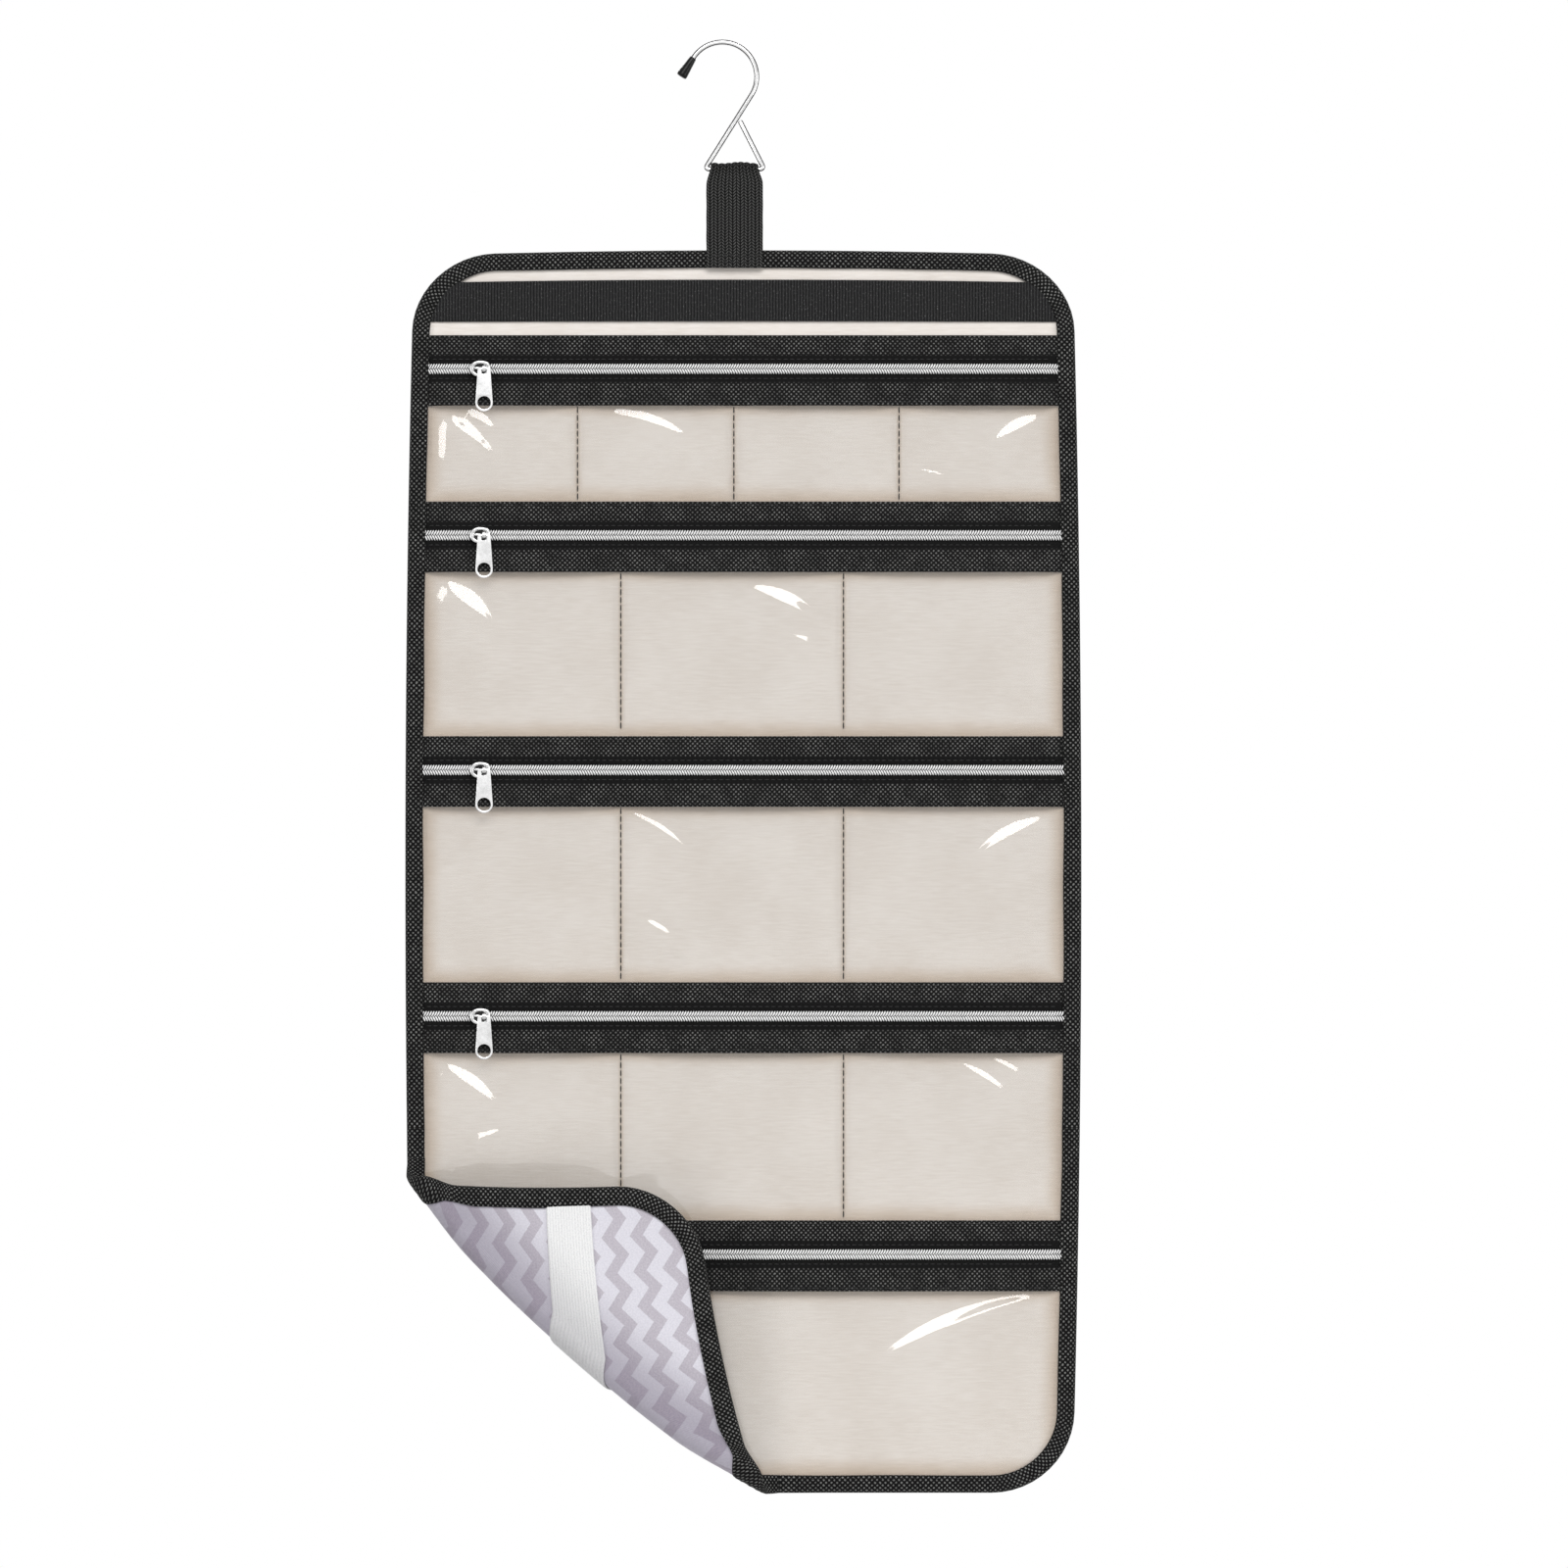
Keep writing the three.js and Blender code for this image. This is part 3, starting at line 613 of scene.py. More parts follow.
def creamCloth():
    f = Finish("cream lining")
    x, y, place = f.clothPlace()
    threads = f.wave(x, 0.55) * f.wave(y, 0.55)
    slub = f.cloud(f.join(x * 0.25, y * 2.2), 2.0, 3.0)
    broad = f.cloud(place, 34.0, 2.0)
    shade = f.between(slub * 0.55 + broad * 0.45 + threads * 0.03, 0.3, 0.7)
    color = f.shade(shade, linear(228, 220, 212), linear(240, 234, 228))
    return f.matte(color, 0.68, threads * 0.3 + slub * 0.8, 0.09, 0.25, 0.08)


chevron = {"repeat": 12.9, "share": 0.46, "start": 0.6, "zigzag": 15.8, "height": 6.1, "edge": 0.45}


def chevronCloth():
    f = Finish("chevron cloth")
    x, y, place = f.clothPlace()
    slope = ((x / chevron["zigzag"]).step("FRACT") - 0.5).step("ABSOLUTE") * (2 * chevron["height"])
    wobble = (f.cloud(place, 1.2, 2.0) - 0.5) * 0.5
    phase = ((y + slope + wobble) / chevron["repeat"]).step("FRACT") * chevron["repeat"]
    start, soft = chevron["start"], chevron["edge"] / 2
    stop = start + chevron["repeat"] * chevron["share"]
    stripe = f.between(phase, start - soft, start + soft) * f.between(phase, stop + soft, stop - soft)
    threads = f.wave(x, 0.62) * f.wave(y, 0.62)
    grain = f.cloud(place, 0.8, 3.0)
    tone = f.between(grain + threads * 0.12, 0.25, 0.75)
    pale = f.shade(tone, linear(214, 212, 221), linear(228, 226, 234))
    dusk = f.shade(tone, linear(183, 177, 187), linear(202, 197, 205))
    # painted shade: the cloth turns dark purple-grey toward the turned corner's crease
    color = f.shade(f.paintedFoldShade(x, y) * 0.56, f.shade(stripe, pale, dusk), linear(104, 92, 114))
    return f.matte(color, 0.8, threads * 0.5 + grain * 0.6, 0.12, 0.2, 0.15)


def fuzzyBand():
    # the hook-and-loop band: fine upright ribs of loops with paler specks
    f = Finish("hook and loop band")
    x, y, place = f.clothPlace()
    ribs = f.wave(x + (f.cloud(place, 3.0) - 0.5) * 0.5, 1.35) * 0.5 + 0.5
    fuzz = f.cloud(f.join(x, y * 0.55), 0.55, 4.0, 0.7)
    tone = f.between(fuzz, 0.56, 0.72) * (0.3 + ribs * 0.7) + ribs * 0.16
    color = f.shade(tone, linear(18, 18, 19), linear(122))
    return f.matte(color, 0.9, ribs * 0.6 + fuzz, 0.4, 0.1, 0.06)


webbing = {"rib": 3.36, "slant": 3.4, "thread": 1.35}


def webbingWeave():
    # herringbone ribs, darker over the hook's bar
    f = Finish("webbing")
    x, y, place = f.clothPlace()
    side = ((x / webbing["rib"] + 0.25).step("FRACT") - 0.5).step("ABSOLUTE")
    slant = ((y + side * webbing["slant"]) / webbing["thread"]).step("FRACT")
    thread = f.between((slant - 0.5).step("ABSOLUTE"), 0.42, 0.1)
    groove = f.between(side, 0.02, 0.12) * f.between(side, 0.48, 0.34)
    grain = f.cloud(place, 0.5, 3.0)
    shadow = 1 - f.between(y, 40, 47) * f.between(y, 62, 54) * 0.5
    color = f.shade(thread * groove * shadow * (0.35 + grain * 0.9), linear(5), linear(94, 94, 93))
    return f.matte(color, 0.8, thread + grain * 0.4, 0.25, 0.08, 0.02)


def plainTape():
    f = Finish("zipper tape")
    x, y, place = f.clothPlace()
    ribs = f.wave(y, 0.8) * 0.5 + 0.5
    grain = f.cloud(place, 0.6, 3.0)
    return f.matte(f.shade(ribs * grain, linear(14), linear(40)), 0.8, ribs + grain, 0.15, 0.12)


def stripCloth():
    # the light strip's looped face
    f = Finish("light strip")
    x, y, place = f.clothPlace()
    fuzz = f.cloud(place, 0.6, 4.0, 0.7)
    ribs = f.wave(y, 1.3) * 0.5 + 0.5
    color = f.shade(f.between(fuzz + ribs * 0.15, 0.3, 0.75), linear(212, 212, 213), linear(241))
    # painted shade: the strip turns grey toward the turned corner's crease
    color = f.shade(f.paintedFoldShade(x, y) * 0.45, color, linear(132, 130, 136))
    return f.matte(color, 0.9, fuzz + ribs * 0.4, 0.25, sheen=0.2)


def speckled(name, grainOf, dark, light, rough, depth, shine=0.5, roughBy=0.0):
    # a plain material with a fine grain, given as what its cloud is called with
    f = Finish(name)
    grain = f.cloud(f.objectPlace(), *grainOf)
    color = f.shade(grain, linear(*dark), linear(*light))
    return f.matte(color, rough + grain * roughBy if roughBy else rough, grain, depth, shine)


def bareMetal(name, level, roughness, brush, sides=None):
    # plated metal with fine scratches and a little tarnish; sides is the level of a painted dark reflection where it
    # turns away
    f = Finish(name)
    place = f.objectPlace()
    fine = f.cloud(place, 0.0011, 4.0, 0.6)
    broad = f.cloud(place, 0.006, 2.0)
    tarnish = f.between(broad * 0.6 + fine * 0.4, 0.3, 0.65)

    def metal(color, tint):
        return f.surface(
            Base_Color=color, Metallic=1.0, Roughness=roughness + fine * brush, Specular_Tint=(tint,) * 3,
            Normal=f.bump(fine, 0.002),
        )

    bright = metal(f.shade(tarnish, linear(level - 26), linear(level)), 0.25)
    if not sides:
        return f.done(bright)
    # painted reflection: a darker copy of the metal is mixed in toward the outline, where it faces away from the
    # camera
    away = f.node("ShaderNodeLayerWeight", None, {"Blend": 0.5}, "Facing")
    paintedDarkEdge = metal(linear(sides), 0.1)
    return f.done(f.node("ShaderNodeMixShader", None, (f.between(away, 0.03, 0.3), bright, paintedDarkEdge)))


def clearVinyl():
    # a clear sheet: mostly seen through, glossy where it faces a lamp, with painted shade, darker and warmer, beside
    # its seams
    f = Finish("clear vinyl")
    x, y, place = f.clothPlace()
    cloudy = f.cloud(place, 24.0, 3.0)
    haze = f.between(cloudy, 0.3, 0.75)
    gloss = f.surface(Base_Color=(0.97, 0.97, 0.97), Metallic=0.9, Roughness=0.04 + haze * 0.03)
    plain = f.node("ShaderNodeBsdfTransparent", None, ((0.945, 0.943, 0.939, 1),))
    # painted shade: a darker, warmer see-through tint near the cell's seams, sides, bottom and the band above it
    deep = f.node("ShaderNodeBsdfTransparent", None, ((0.88, 0.852, 0.82, 1),))
    seam = 1 - f.between(f.edgeDistance() + cloudy * 4, 1.5, 11)
    clear = f.node("ShaderNodeMixShader", None, (seam, plain, deep))
    # both faces of the thin sheet shine together, so the inner side of its mesh adds nothing
    facing = f.node("ShaderNodeFresnel", None, {"IOR": 1.5})
    inner = f.node("ShaderNodeNewGeometry", None, (), "Backfacing")
    share = (facing * 1.9 + haze * 0.01).step("MINIMUM", 0.9) * (1 - inner)
    return f.done(f.node("ShaderNodeMixShader", None, (share, clear, gloss)))


finishes = {
    "binding": wovenBlack("edge binding", 2.4, 0.62, 0.35, (10,), (128, 128, 126)),
    "band": wovenBlack("pocket bands", 2.15, 0.54, 0.45, (17,), (122, 122, 120), zipEdgeShade=True),
    "lining": creamCloth(),
    "shell": chevronCloth(),
    "closure": fuzzyBand(),
    "webbing": webbingWeave(),
    "tape": plainTape(),
    "thread": speckled("black thread", (0.0006, 2.0), (16,), (46,), 0.6, 0.1, 0.3),
    "coil": speckled("zipper coil", (0.0012, 2.0), (236,), (252,), 0.3, 0.05),
    "slider": bareMetal("zipper slider", 214, 0.16, 0.08),
    # painted shade: dark metal for the slider's sunk middle
    "paintedRecessShade": bareMetal("slider recess", 58, 0.32, 0.1),
    "pull": bareMetal("slider pull", 236, 0.22, 0.1),
    "wire": bareMetal("hook wire", 232, 0.14, 0.04, sides=70),
    "rubber": speckled("rubber tip", (0.0009, 3.0), (3,), (12,), 0.22, 0.02, 0.16, 0.1),
    "window": clearVinyl(),
    "padding": speckled("foam padding", (0.0009, 3.0, 0.7), (196, 192, 178), (236, 233, 222), 0.95, 0.3),
    "strip": stripCloth(),
}
print("finishes made")


# camera, lamps and floor

studio = {
    "cameraX": 0.02756,
    "cameraZ": -0.3301,
    "away": 3.5,
    "lens": 180,
    "ambient": 0.26,
    "floorZ": -0.74,
    "floorRadius": 0.55,
}

camera = bpy.data.cameras.new("camera")
camera.lens = studio["lens"]
camera.sensor_width = 36
cameraObject = addObject("camera", camera)
cameraObject.location = (studio["cameraX"], -studio["away"], studio["cameraZ"])
cameraObject.rotation_euler = (math.pi / 2, 0, 0)
bpy.context.scene.camera = cameraObject
bpy.context.scene.view_settings.view_transform = "Standard"

lamps = {
    # name: (place, aim, width, height, power)
    "left softbox": ((-1.9, -1.35, -0.25), (0, 0, -0.36), 0.5, 1.4, 11.0),
    "right softbox": ((2.0, -1.3, -0.3), (0, 0, -0.38), 0.5, 1.4, 13.0),
    "top softbox": ((0.2, -2.9, 1.75), (0, 0, -0.33), 3.0, 1.6, 92.0),
    "back softbox": ((0.3, 1.9, 0.6), (0, 0, -0.35), 1.6, 1.2, 34.0),
}
for name, (place, aim, width, height, power) in lamps.items():
    lamp = bpy.data.lights.new(name, "AREA")
    lamp.shape = "RECTANGLE"
    lamp.size = width
    lamp.size_y = height
    lamp.energy = power
    lampObject = addObject(name, lamp)
    lampObject.location = place
    lampObject.rotation_euler = (Vector(aim) - Vector(place)).to_track_quat("-Z", "Y").to_euler()

world = bpy.data.worlds.new("studio")
bpy.context.scene.world = world
sky = Finish("studio", world)
seen = 0.0
for ray in ("Is Camera Ray", "Is Glossy Ray", "Is Transmission Ray"):
    seen = sky.node("ShaderNodeLightPath", None, (), ray).step("MAXIMUM", seen)
strength = seen * (1 - studio["ambient"]) + studio["ambient"]
backdrop = sky.node("ShaderNodeBackground", None, {"Color": (1, 1, 1, 1), "Strength": strength})
sky.node("ShaderNodeOutputWorld", None, {"Surface": backdrop})

# a pale floor that fades to the white around it
floorShape = bmesh.new()
bmesh.ops.create_circle(floorShape, cap_ends=True, segments=96, radius=studio["floorRadius"])
floorMesh = bpy.data.meshes.new("floor")
floorShape.to_mesh(floorMesh)
floorShape.free()
floorObject = addObject("floor", floorMesh)
floorObject.location = (0, 0, studio["floorZ"])
f = Finish("pale floor")
place = f.objectPlace()
outward = f.node("ShaderNodeVectorMath", {"operation": "LENGTH"}, (place,), 1)
rim = f.between(outward, 0.45 * studio["floorRadius"], 0.95 * studio["floorRadius"])
rim = rim * f.node("ShaderNodeLightPath", None, (), "Is Camera Ray")
floorFace = f.surface(Base_Color=f.shade(f.cloud(place, 0.2), (0.84,) * 3, (0.89,) * 3), Roughness=0.8)
white = f.node("ShaderNodeEmission", None, {"Color": (1, 1, 1, 1), "Strength": 1.0})
floorMesh.materials.append(f.done(f.node("ShaderNodeMixShader", None, (rim, floorFace, white))))
print("camera, lamps and floor made")


# outer cloth, padding and lining

layers = {
    "inset": 1.2,
    "lining": 0.55,  # thickness
    "paddingFront": -0.72,
    "paddingBack": -3.36,
    "shell": 0.75,  # thickness
    "shellBack": -4.3,
    "grid": 5.0,
    "cornerRows": (0, 0.4, 1.2, 2.4, 4, 6.5, 9.5, 13, 17, 22, 28),
}


def liningFront(x, d):
    # the lining is drawn flat at the seams and ripples a little between them
    return 0.16 * ripple(x, d, 26, 3.1) + 0.1 * ripple(x, d * 0.4, 9, 7.7) * smooth(40, 130, x)


def shellBack(x, d):
    return layers["shellBack"] + 0.32 * ripple(x, d, 55, 5.2) + 0.14 * ripple(x, d, 17, 1.4)


def cornerRows(start, stop, size):
    # rows that crowd into the panel's round corners
    rowsDown = set(steps(start, stop, size))
    for base, sign in ((layers["inset"], 1), (panel["height"] - layers["inset"], -1)):
        rowsDown.update(d for d in (base + sign * extra for extra in layers["cornerRows"]) if start <= d <= stop)
    kept = []
    for d in sorted(rowsDown):
        if not kept or d - kept[-1] > 0.3:
            kept.append(d)
    kept[-1] = stop
    return kept


layerPieces = {
    "lining": (liningFront, lambda x, d: liningFront(x, d) - layers["lining"]),
    "padding": (lambda x, d: layers["paddingFront"], lambda x, d: layers["paddingBack"]),
    "shell": (lambda x, d: shellBack(x, d) + layers["shell"], shellBack),
}
panelEnd = panel["height"] - layers["inset"]
stretches = {
    # name: (from, to, what it rides on or the fold it lies across)
    "top": (layers["inset"], upperSplit, "upper"),
    "middle": (upperSplit, lowerSplit, "lower"),
    "bend": (lowerSplit, panelEnd, "corner"),
    "bottom": (lowerSplit, panelEnd, "bottom_panel"),
    "corner": (lowerSplit, panelEnd, "corner_flap"),
}


def flatSize(made):
    # width, height and area of a piece's cloth as it lies flat, in metres
    mesh = made.data
    spots = [Vector(c.uv) / (1000 / mapUnit) for c in mesh.uv_layers["flat"].data]
    low = [min(p[k] for p in spots) for k in (0, 1)]
    high = [max(p[k] for p in spots) for k in (0, 1)]
    area = 0
    for face in mesh.polygons:
        ring = [spots[i] for i in face.loop_indices]
        area += abs(sum(p[0] * q[1] - q[0] * p[1] for p, q in zip(ring, ring[1:] + ring[:1]))) / 2
    return high[0] - low[0], high[1] - low[1], area / 2


def declareCloth(made, others=()):
    width, length, area = flatSize(made)
    width, length = max(width, 0.0101), max(length, 0.0101)
    area = min(max(area, 0.3 * width * length), width * length)


for layer, (frontAt, backAt) in layerPieces.items():
    for stretch, (start, stop, hold) in stretches.items():
        rowsDown = withFoldRows(cornerRows(start, stop, layers["grid"]))
        cloth = flatPatch(columns(layers["grid"]), rowsDown, layers["inset"])
        if stretch in creaseRows:
            creasePart(cloth, stretch)
        made = thicken(f"{layer}_{stretch}", cloth, frontAt, backAt, layer)
        if layer == "padding":
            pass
        elif stretch == "bend":
            bendPiece = made
        else:
            declareCloth(made, [bendPiece] if stretch == "bottom" else [])
        settle(made, hold, [] if stretch == "bend" else [f"{stretch}_{layer}"])
print("outer cloth, padding and lining made")


# edge binding

bindingPlan = {
    "step": 4.0,
    # (in from the panel's edge, forward) round the folded strip
    "section": (
        (8.1, 1.15), (7.85, 1.62), (7.2, 1.86), (5.6, 1.98), (3.8, 1.92), (2.2, 1.5), (1.0, 0.72), (0.28, -0.5),
        (0.0, -2.0), (0.28, -3.6), (1.0, -4.7), (2.2, -5.3), (4.0, -5.6), (6.2, -5.6), (7.5, -5.45), (8.1, -5.0),
        (7.8, -4.62), (5.2, -4.62), (2.6, -4.5), (1.25, -3.6), (1.05, -2.0), (1.25, -0.5), (2.6, 0.42), (5.2, 0.95),
        (7.8, 1.02),
    ),
    "stitchInset": 6.7,
    "stitchPitch": 3.1,
    "stitchLength": 2.232,
    "stitches": ((1.8, 0.26), (-5.42, 0.3)),  # (forward, radius) on each face
    "bendStretch": 1.5,  # a bend's outer face is longer than its flat run
}


def cornerStations(sign, end, turns=12):
    radius = panel["cornerRadius"]
    middle = radius if end < 0 else panel["height"] - radius
    found = []
    for i in range(turns + 1):
        angle = math.pi / 2 * i / turns
        d = middle + end * radius * math.sin(angle)
        x = sign * (halfWidthAt(d) - radius * (1 - math.cos(angle)))
        found.append((x, d + crownAt(x, d), -sign * math.cos(angle), -end * math.sin(angle)))
    return found


def sideEdge(sign, start, stop, size):
    return [(sign * halfWidthAt(d), d, -sign, 0.0) for d in withFoldRows(steps(start, stop, size))]


def bottomEdge(start, stop, size):
    return [(x, panel["height"], 0.0, -1.0) for x in steps(start, stop, size)]


def topEdge(size):
    reach = halfWidthAt(0) - panel["cornerRadius"]
    return [(x, crownAt(x, 0), 0.0, 1.0) for x in steps(-reach, reach, size)][1:-1]


def depthOnLeft(s):
    # where a line beside the crease meets the panel's left side
    d = panel["height"]
    for i in range(5):
        x = -halfWidthAt(d) + panel["width"] / 2
        d = panel["height"] + (s - cornerTurn["start"] - x * offCrease[0]) / offCrease[1]
    return d


def placeOnBottom(s):
    return (s - cornerTurn["start"]) / offCrease[0] - panel["width"] / 2


def bindingRun(bunch, stations, bent=False):
    # sweeps the folded binding along the edge, and sews it where it isn't bent
    rings = []
    spots = []
    section = bindingPlan["section"]
    girth = [0.0]
    for a, b in zip(section, section[1:]):
        girth.append(girth[-1] + math.dist(a, b))
    along = 0.0
    last = None
    for x, d, inX, inD in stations:
        if last:
            along += math.dist(last, (x, d)) * (bindingPlan["bendStretch"] if bent else 1)
        last = (x, d)
        ring = []
        for inset, n in section:
            pucker = 0.16 * ripple(along, inset * 2, 7, 2.5) * smooth(0, 3, inset)
            wander = 0.3 * ripple(along, 0, 30, 9.1) * smooth(4, 8, inset)
            lift = pucker if n > -2 else -pucker
            ring.append(drape(x + (inset + wander) * inX, d + (inset + wander) * inD, n + lift))
        rings.append(ring)
        spots.append([(along, g) for g in girth])
    bunch.loft(rings, spots)
    if bent:
        return
    inset = bindingPlan["stitchInset"]
    reached = 0.0
    for a, b in zip(stations, stations[1:]):
        span = math.dist(a[:2], b[:2])
        while reached < span:
            for n, radius in bindingPlan["stitches"]:
                ends = []
                for t in (reached / span, (reached + bindingPlan["stitchLength"]) / span):
                    x, d, inX, inD = (mix(p, q, t) for p, q in zip(a, b))
                    ends.append((x + inset * inX, d + inset * inD, n))
                stitch(bunch, *ends, radius)
            reached += bindingPlan["stitchPitch"]
        reached -= span


leftBendStart, leftBendEnd = depthOnLeft(bendStart), depthOnLeft(bendEnd)
bottomBendStart, bottomBendEnd = placeOnBottom(bendStart), placeOnBottom(bendEnd)
cornerReach = halfWidthAt(panel["height"]) - panel["cornerRadius"]
cornerTop = panel["cornerRadius"]
cornerLow = panel["height"] - panel["cornerRadius"]
wide = bindingPlan["step"]
bindingRuns = {
    # name: (runs, what they ride on or the fold they lie across, CAD nodes)
    "top": ([
        sideEdge(-1, cornerTop, upperSplit, wide)[::-1][:-1] + cornerStations(-1, -1) + topEdge(wide)
        + cornerStations(1, -1)[::-1] + sideEdge(1, cornerTop, upperSplit, wide)[1:]
    ], "upper", ["top_binding"]),
    "middle": (
        [sideEdge(sign, upperSplit, lowerSplit, wide) for sign in (-1, 1)],
        "lower", ["middle_binding_left", "middle_binding_right"],
    ),
    "bottom": ([
        sideEdge(-1, lowerSplit, leftBendStart, 2),
        sideEdge(1, lowerSplit, cornerLow, wide)[:-1] + cornerStations(1, 1)
        + bottomEdge(bottomBendStart, cornerReach, wide)[::-1][1:],
    ], "bottom_panel", ["bottom_binding_left", "bottom_binding_right"]),
    "bend": ([
        sideEdge(-1, leftBendStart, leftBendEnd, 0.9), bottomEdge(bottomBendEnd, bottomBendStart, 0.9),
    ], "cornerFront", []),
    "corner": ([
        sideEdge(-1, leftBendEnd, cornerLow, 3)[:-1] + cornerStations(-1, 1)
        + bottomEdge(-cornerReach, bottomBendEnd, 3)[1:],
    ], "corner_flap", ["corner_binding"]),
}
for name, (runs, hold, nodes) in bindingRuns.items():
    bunch = Bunch()
    for stations in runs:
        bindingRun(bunch, stations, name == "bend")
    settle(bunch.make(f"binding_{name}", "binding", sharp=60), hold, nodes)
print("edge binding made")


# closure band and light strip

closure = {"top": 13.3, "bottom": 31.9, "front": 1.75, "back": 0.2, "edge": 0.8}


def edgeRounding(d, top, bottom, soft):
    near = min(d - top, bottom - d)
    t = min(max(near / soft, 0), 1)
    return math.sqrt(max(0.0, 1 - (1 - t) ** 2))


def clothRows(top, bottom, middle=1.3):
    edges = (0, 0.12, 0.35, 0.8, 1.5)
    inner = steps(top + 2.4, bottom - 2.4, middle)
    return [top + e for e in edges] + inner + [bottom - e for e in edges[::-1]]


def closureFront(x, d):
    thick = closure["front"] - closure["back"]
    hem = 0.35 * math.exp(-((min(d - closure["top"], closure["bottom"] - d) - 2.2) / 0.5) ** 2)
    puff = 0.5 + 0.5 * edgeRounding(d, closure["top"], closure["bottom"], closure["edge"])
    return closure["back"] + (thick * puff - hem) * underBinding(x, d, 0.45)


cloth = flatPatch(columns(3.0), clothRows(closure["top"], closure["bottom"]), 7.2)
made = thicken("closure_cloth", cloth, closureFront, lambda x, d: closure["back"], "closure")
declareCloth(made)
settle(made, "top_panel", ["closure_band"])

strip = {"top": 485.6, "bottom": 506.6, "front": -4.45, "back": -5.3}


def stripBack(x, d):
    puff = 0.4 + 0.6 * edgeRounding(d, strip["top"], strip["bottom"], 0.8)
    return strip["front"] + (strip["back"] - strip["front"]) * puff


for part, hold, nodes in (
    ("bend", "corner", None), ("bottom", "bottom_panel", ["back_strip"]), ("corner", "corner_flap", ["corner_strip"]),
):
    cloth = flatPatch(columns(3.0), clothRows(strip["top"], strip["bottom"]), 7.2)
    creasePart(cloth, part)
    made = thicken(f"strip_{part}", cloth, lambda x, d: strip["front"], stripBack, "strip")
    if part == "bend":
        bendPiece = made
    else:
        declareCloth(made, [bendPiece] if part == "bottom" else [])
    settle(made, hold, nodes)
print("closure band and strip made")


# pocket rows

pocket = {
    "inset": 7.1,
    "frontInset": 7.0,
    "bandThickness": 0.9,
    "lift": 1.2,
    "bagMouth": 2.2,  # how far the lower band stands off in the middle of a cell
    "puff": 1.5,  # how far the clear front swells beyond that
    "foldReach": 9.0,  # how far a fold in the clear front takes to die away
    "leastArea": 25,  # a part of a strip smaller than this is left out
    "seamStep": 3.5,
    "seamStitch": 2.9,
    "seamThread": 0.3,
    "rowStep": 2.9,
    "rowStitch": 2.1,
    "rowThread": 0.24,
}


def upperBandFront(row, x, d):
    share = (d - row["top"]) / (row["bandEnd"] - row["top"])
    rounded = edgeRounding(d, row["top"], row["bandEnd"], 0.7)
    body = 0.35 + 0.95 * share + 0.35 * math.sin(math.pi * min(max(share, 0), 1))
    body += 0.12 * ripple(x, d, 14, row["number"])
    return (body + pocket["bandThickness"] * (0.35 + 0.5 * rounded)) * underBinding(x, d)


def upperBandBack(row, x, d):
    share = (d - row["top"]) / (row["bandEnd"] - row["top"])
    return (0.22 + 0.95 * share) * underBinding(x, d, 0.15)


def mouth(row, x, d):
    # the lower band bows forward where a bag hangs open
    share = smooth(row["lowerStart"], row["windowTop"], d)
    return pocket["bagMouth"] * cellLift(row, x) * share * underFlap(x, d)


def lowerBandFront(row, x, d):
    rounded = edgeRounding(d, row["lowerStart"], row["windowTop"], 0.7)
    body = pocket["lift"] + mouth(row, x, d) + 0.1 * ripple(x, d, 14, 20 + row["number"])
    return (body + pocket["bandThickness"] * (0.4 + 0.6 * rounded)) * underBinding(x, d)


def lowerBandBack(row, x, d):
    return (pocket["lift"] + mouth(row, x, d)) * underBinding(x, d, 0.15)


# folds in the clear fronts, whose upper sides shine:
# (row, from x, from d, to x, to d, half width, slope)
glossFolds = (
    (1, -132, 74, -109, 94, 2.8, 0.36), (1, -122, 72, -111, 80, 1.4, 0.36), (1, -58, 72, -25, 83, 1.7, 0.36),
    (1, 76, 97.5, 102, 107, 1.8, 0.5), (1, 132, 74, 112, 85, 2.6, 0.36),
    (2, -133, 148, -110, 168, 4.2, 0.36), (2, 5, 150, 36, 166, 3.6, 0.36), (2, 20, 171, 37, 179, 1.6, 0.4),
    (3, -52, 250, -23, 269, 1.8, 0.36), (3, 133, 253, 102, 271, 3.4, 0.36), (3, -44, 298, -22, 316, 3.0, 0.46),
    (3, -97, 309, -70, 322, 1.0, 0.46),
    (4, -133, 363, -106, 385, 4.0, 0.36), (4, -108, 392, -132, 404, 2.8, 0.36), (4, 96, 362, 126, 384, 2.0, 0.36),
    (4, 110, 360, 128, 371, 1.5, 0.36), (4, 3, 411, 36, 429, 1.4, 0.48),
    (5, 128, 466, 50, 501, 5.2, 0.34), (5, 132, 467, 90, 480, 1.9, 0.36),
)


def foldAt(number, x, d):
    height = 0
    for row, x0, d0, x1, d1, half, slope in glossFolds:
        if row != number:
            continue
        length = math.hypot(x1 - x0, d1 - d0)
        t = ((x - x0) * (x1 - x0) + (d - d0) * (d1 - d0)) / length ** 2
        if not 0 < t < 1:
            continue
        down = ((d - d0) * (x1 - x0) - (x - x0) * (d1 - d0)) / math.copysign(length, x1 - x0)
        down += 0.06 * length * math.sin(math.pi * t)
        wide = half * math.sin(math.pi * t) ** 0.7
        if down > -wide:
            risen = 1.35 * slope * wide * smooth(-wide, wide, down)
            height += risen * math.exp(-max(down - wide, 0) / pocket["foldReach"])
    return height


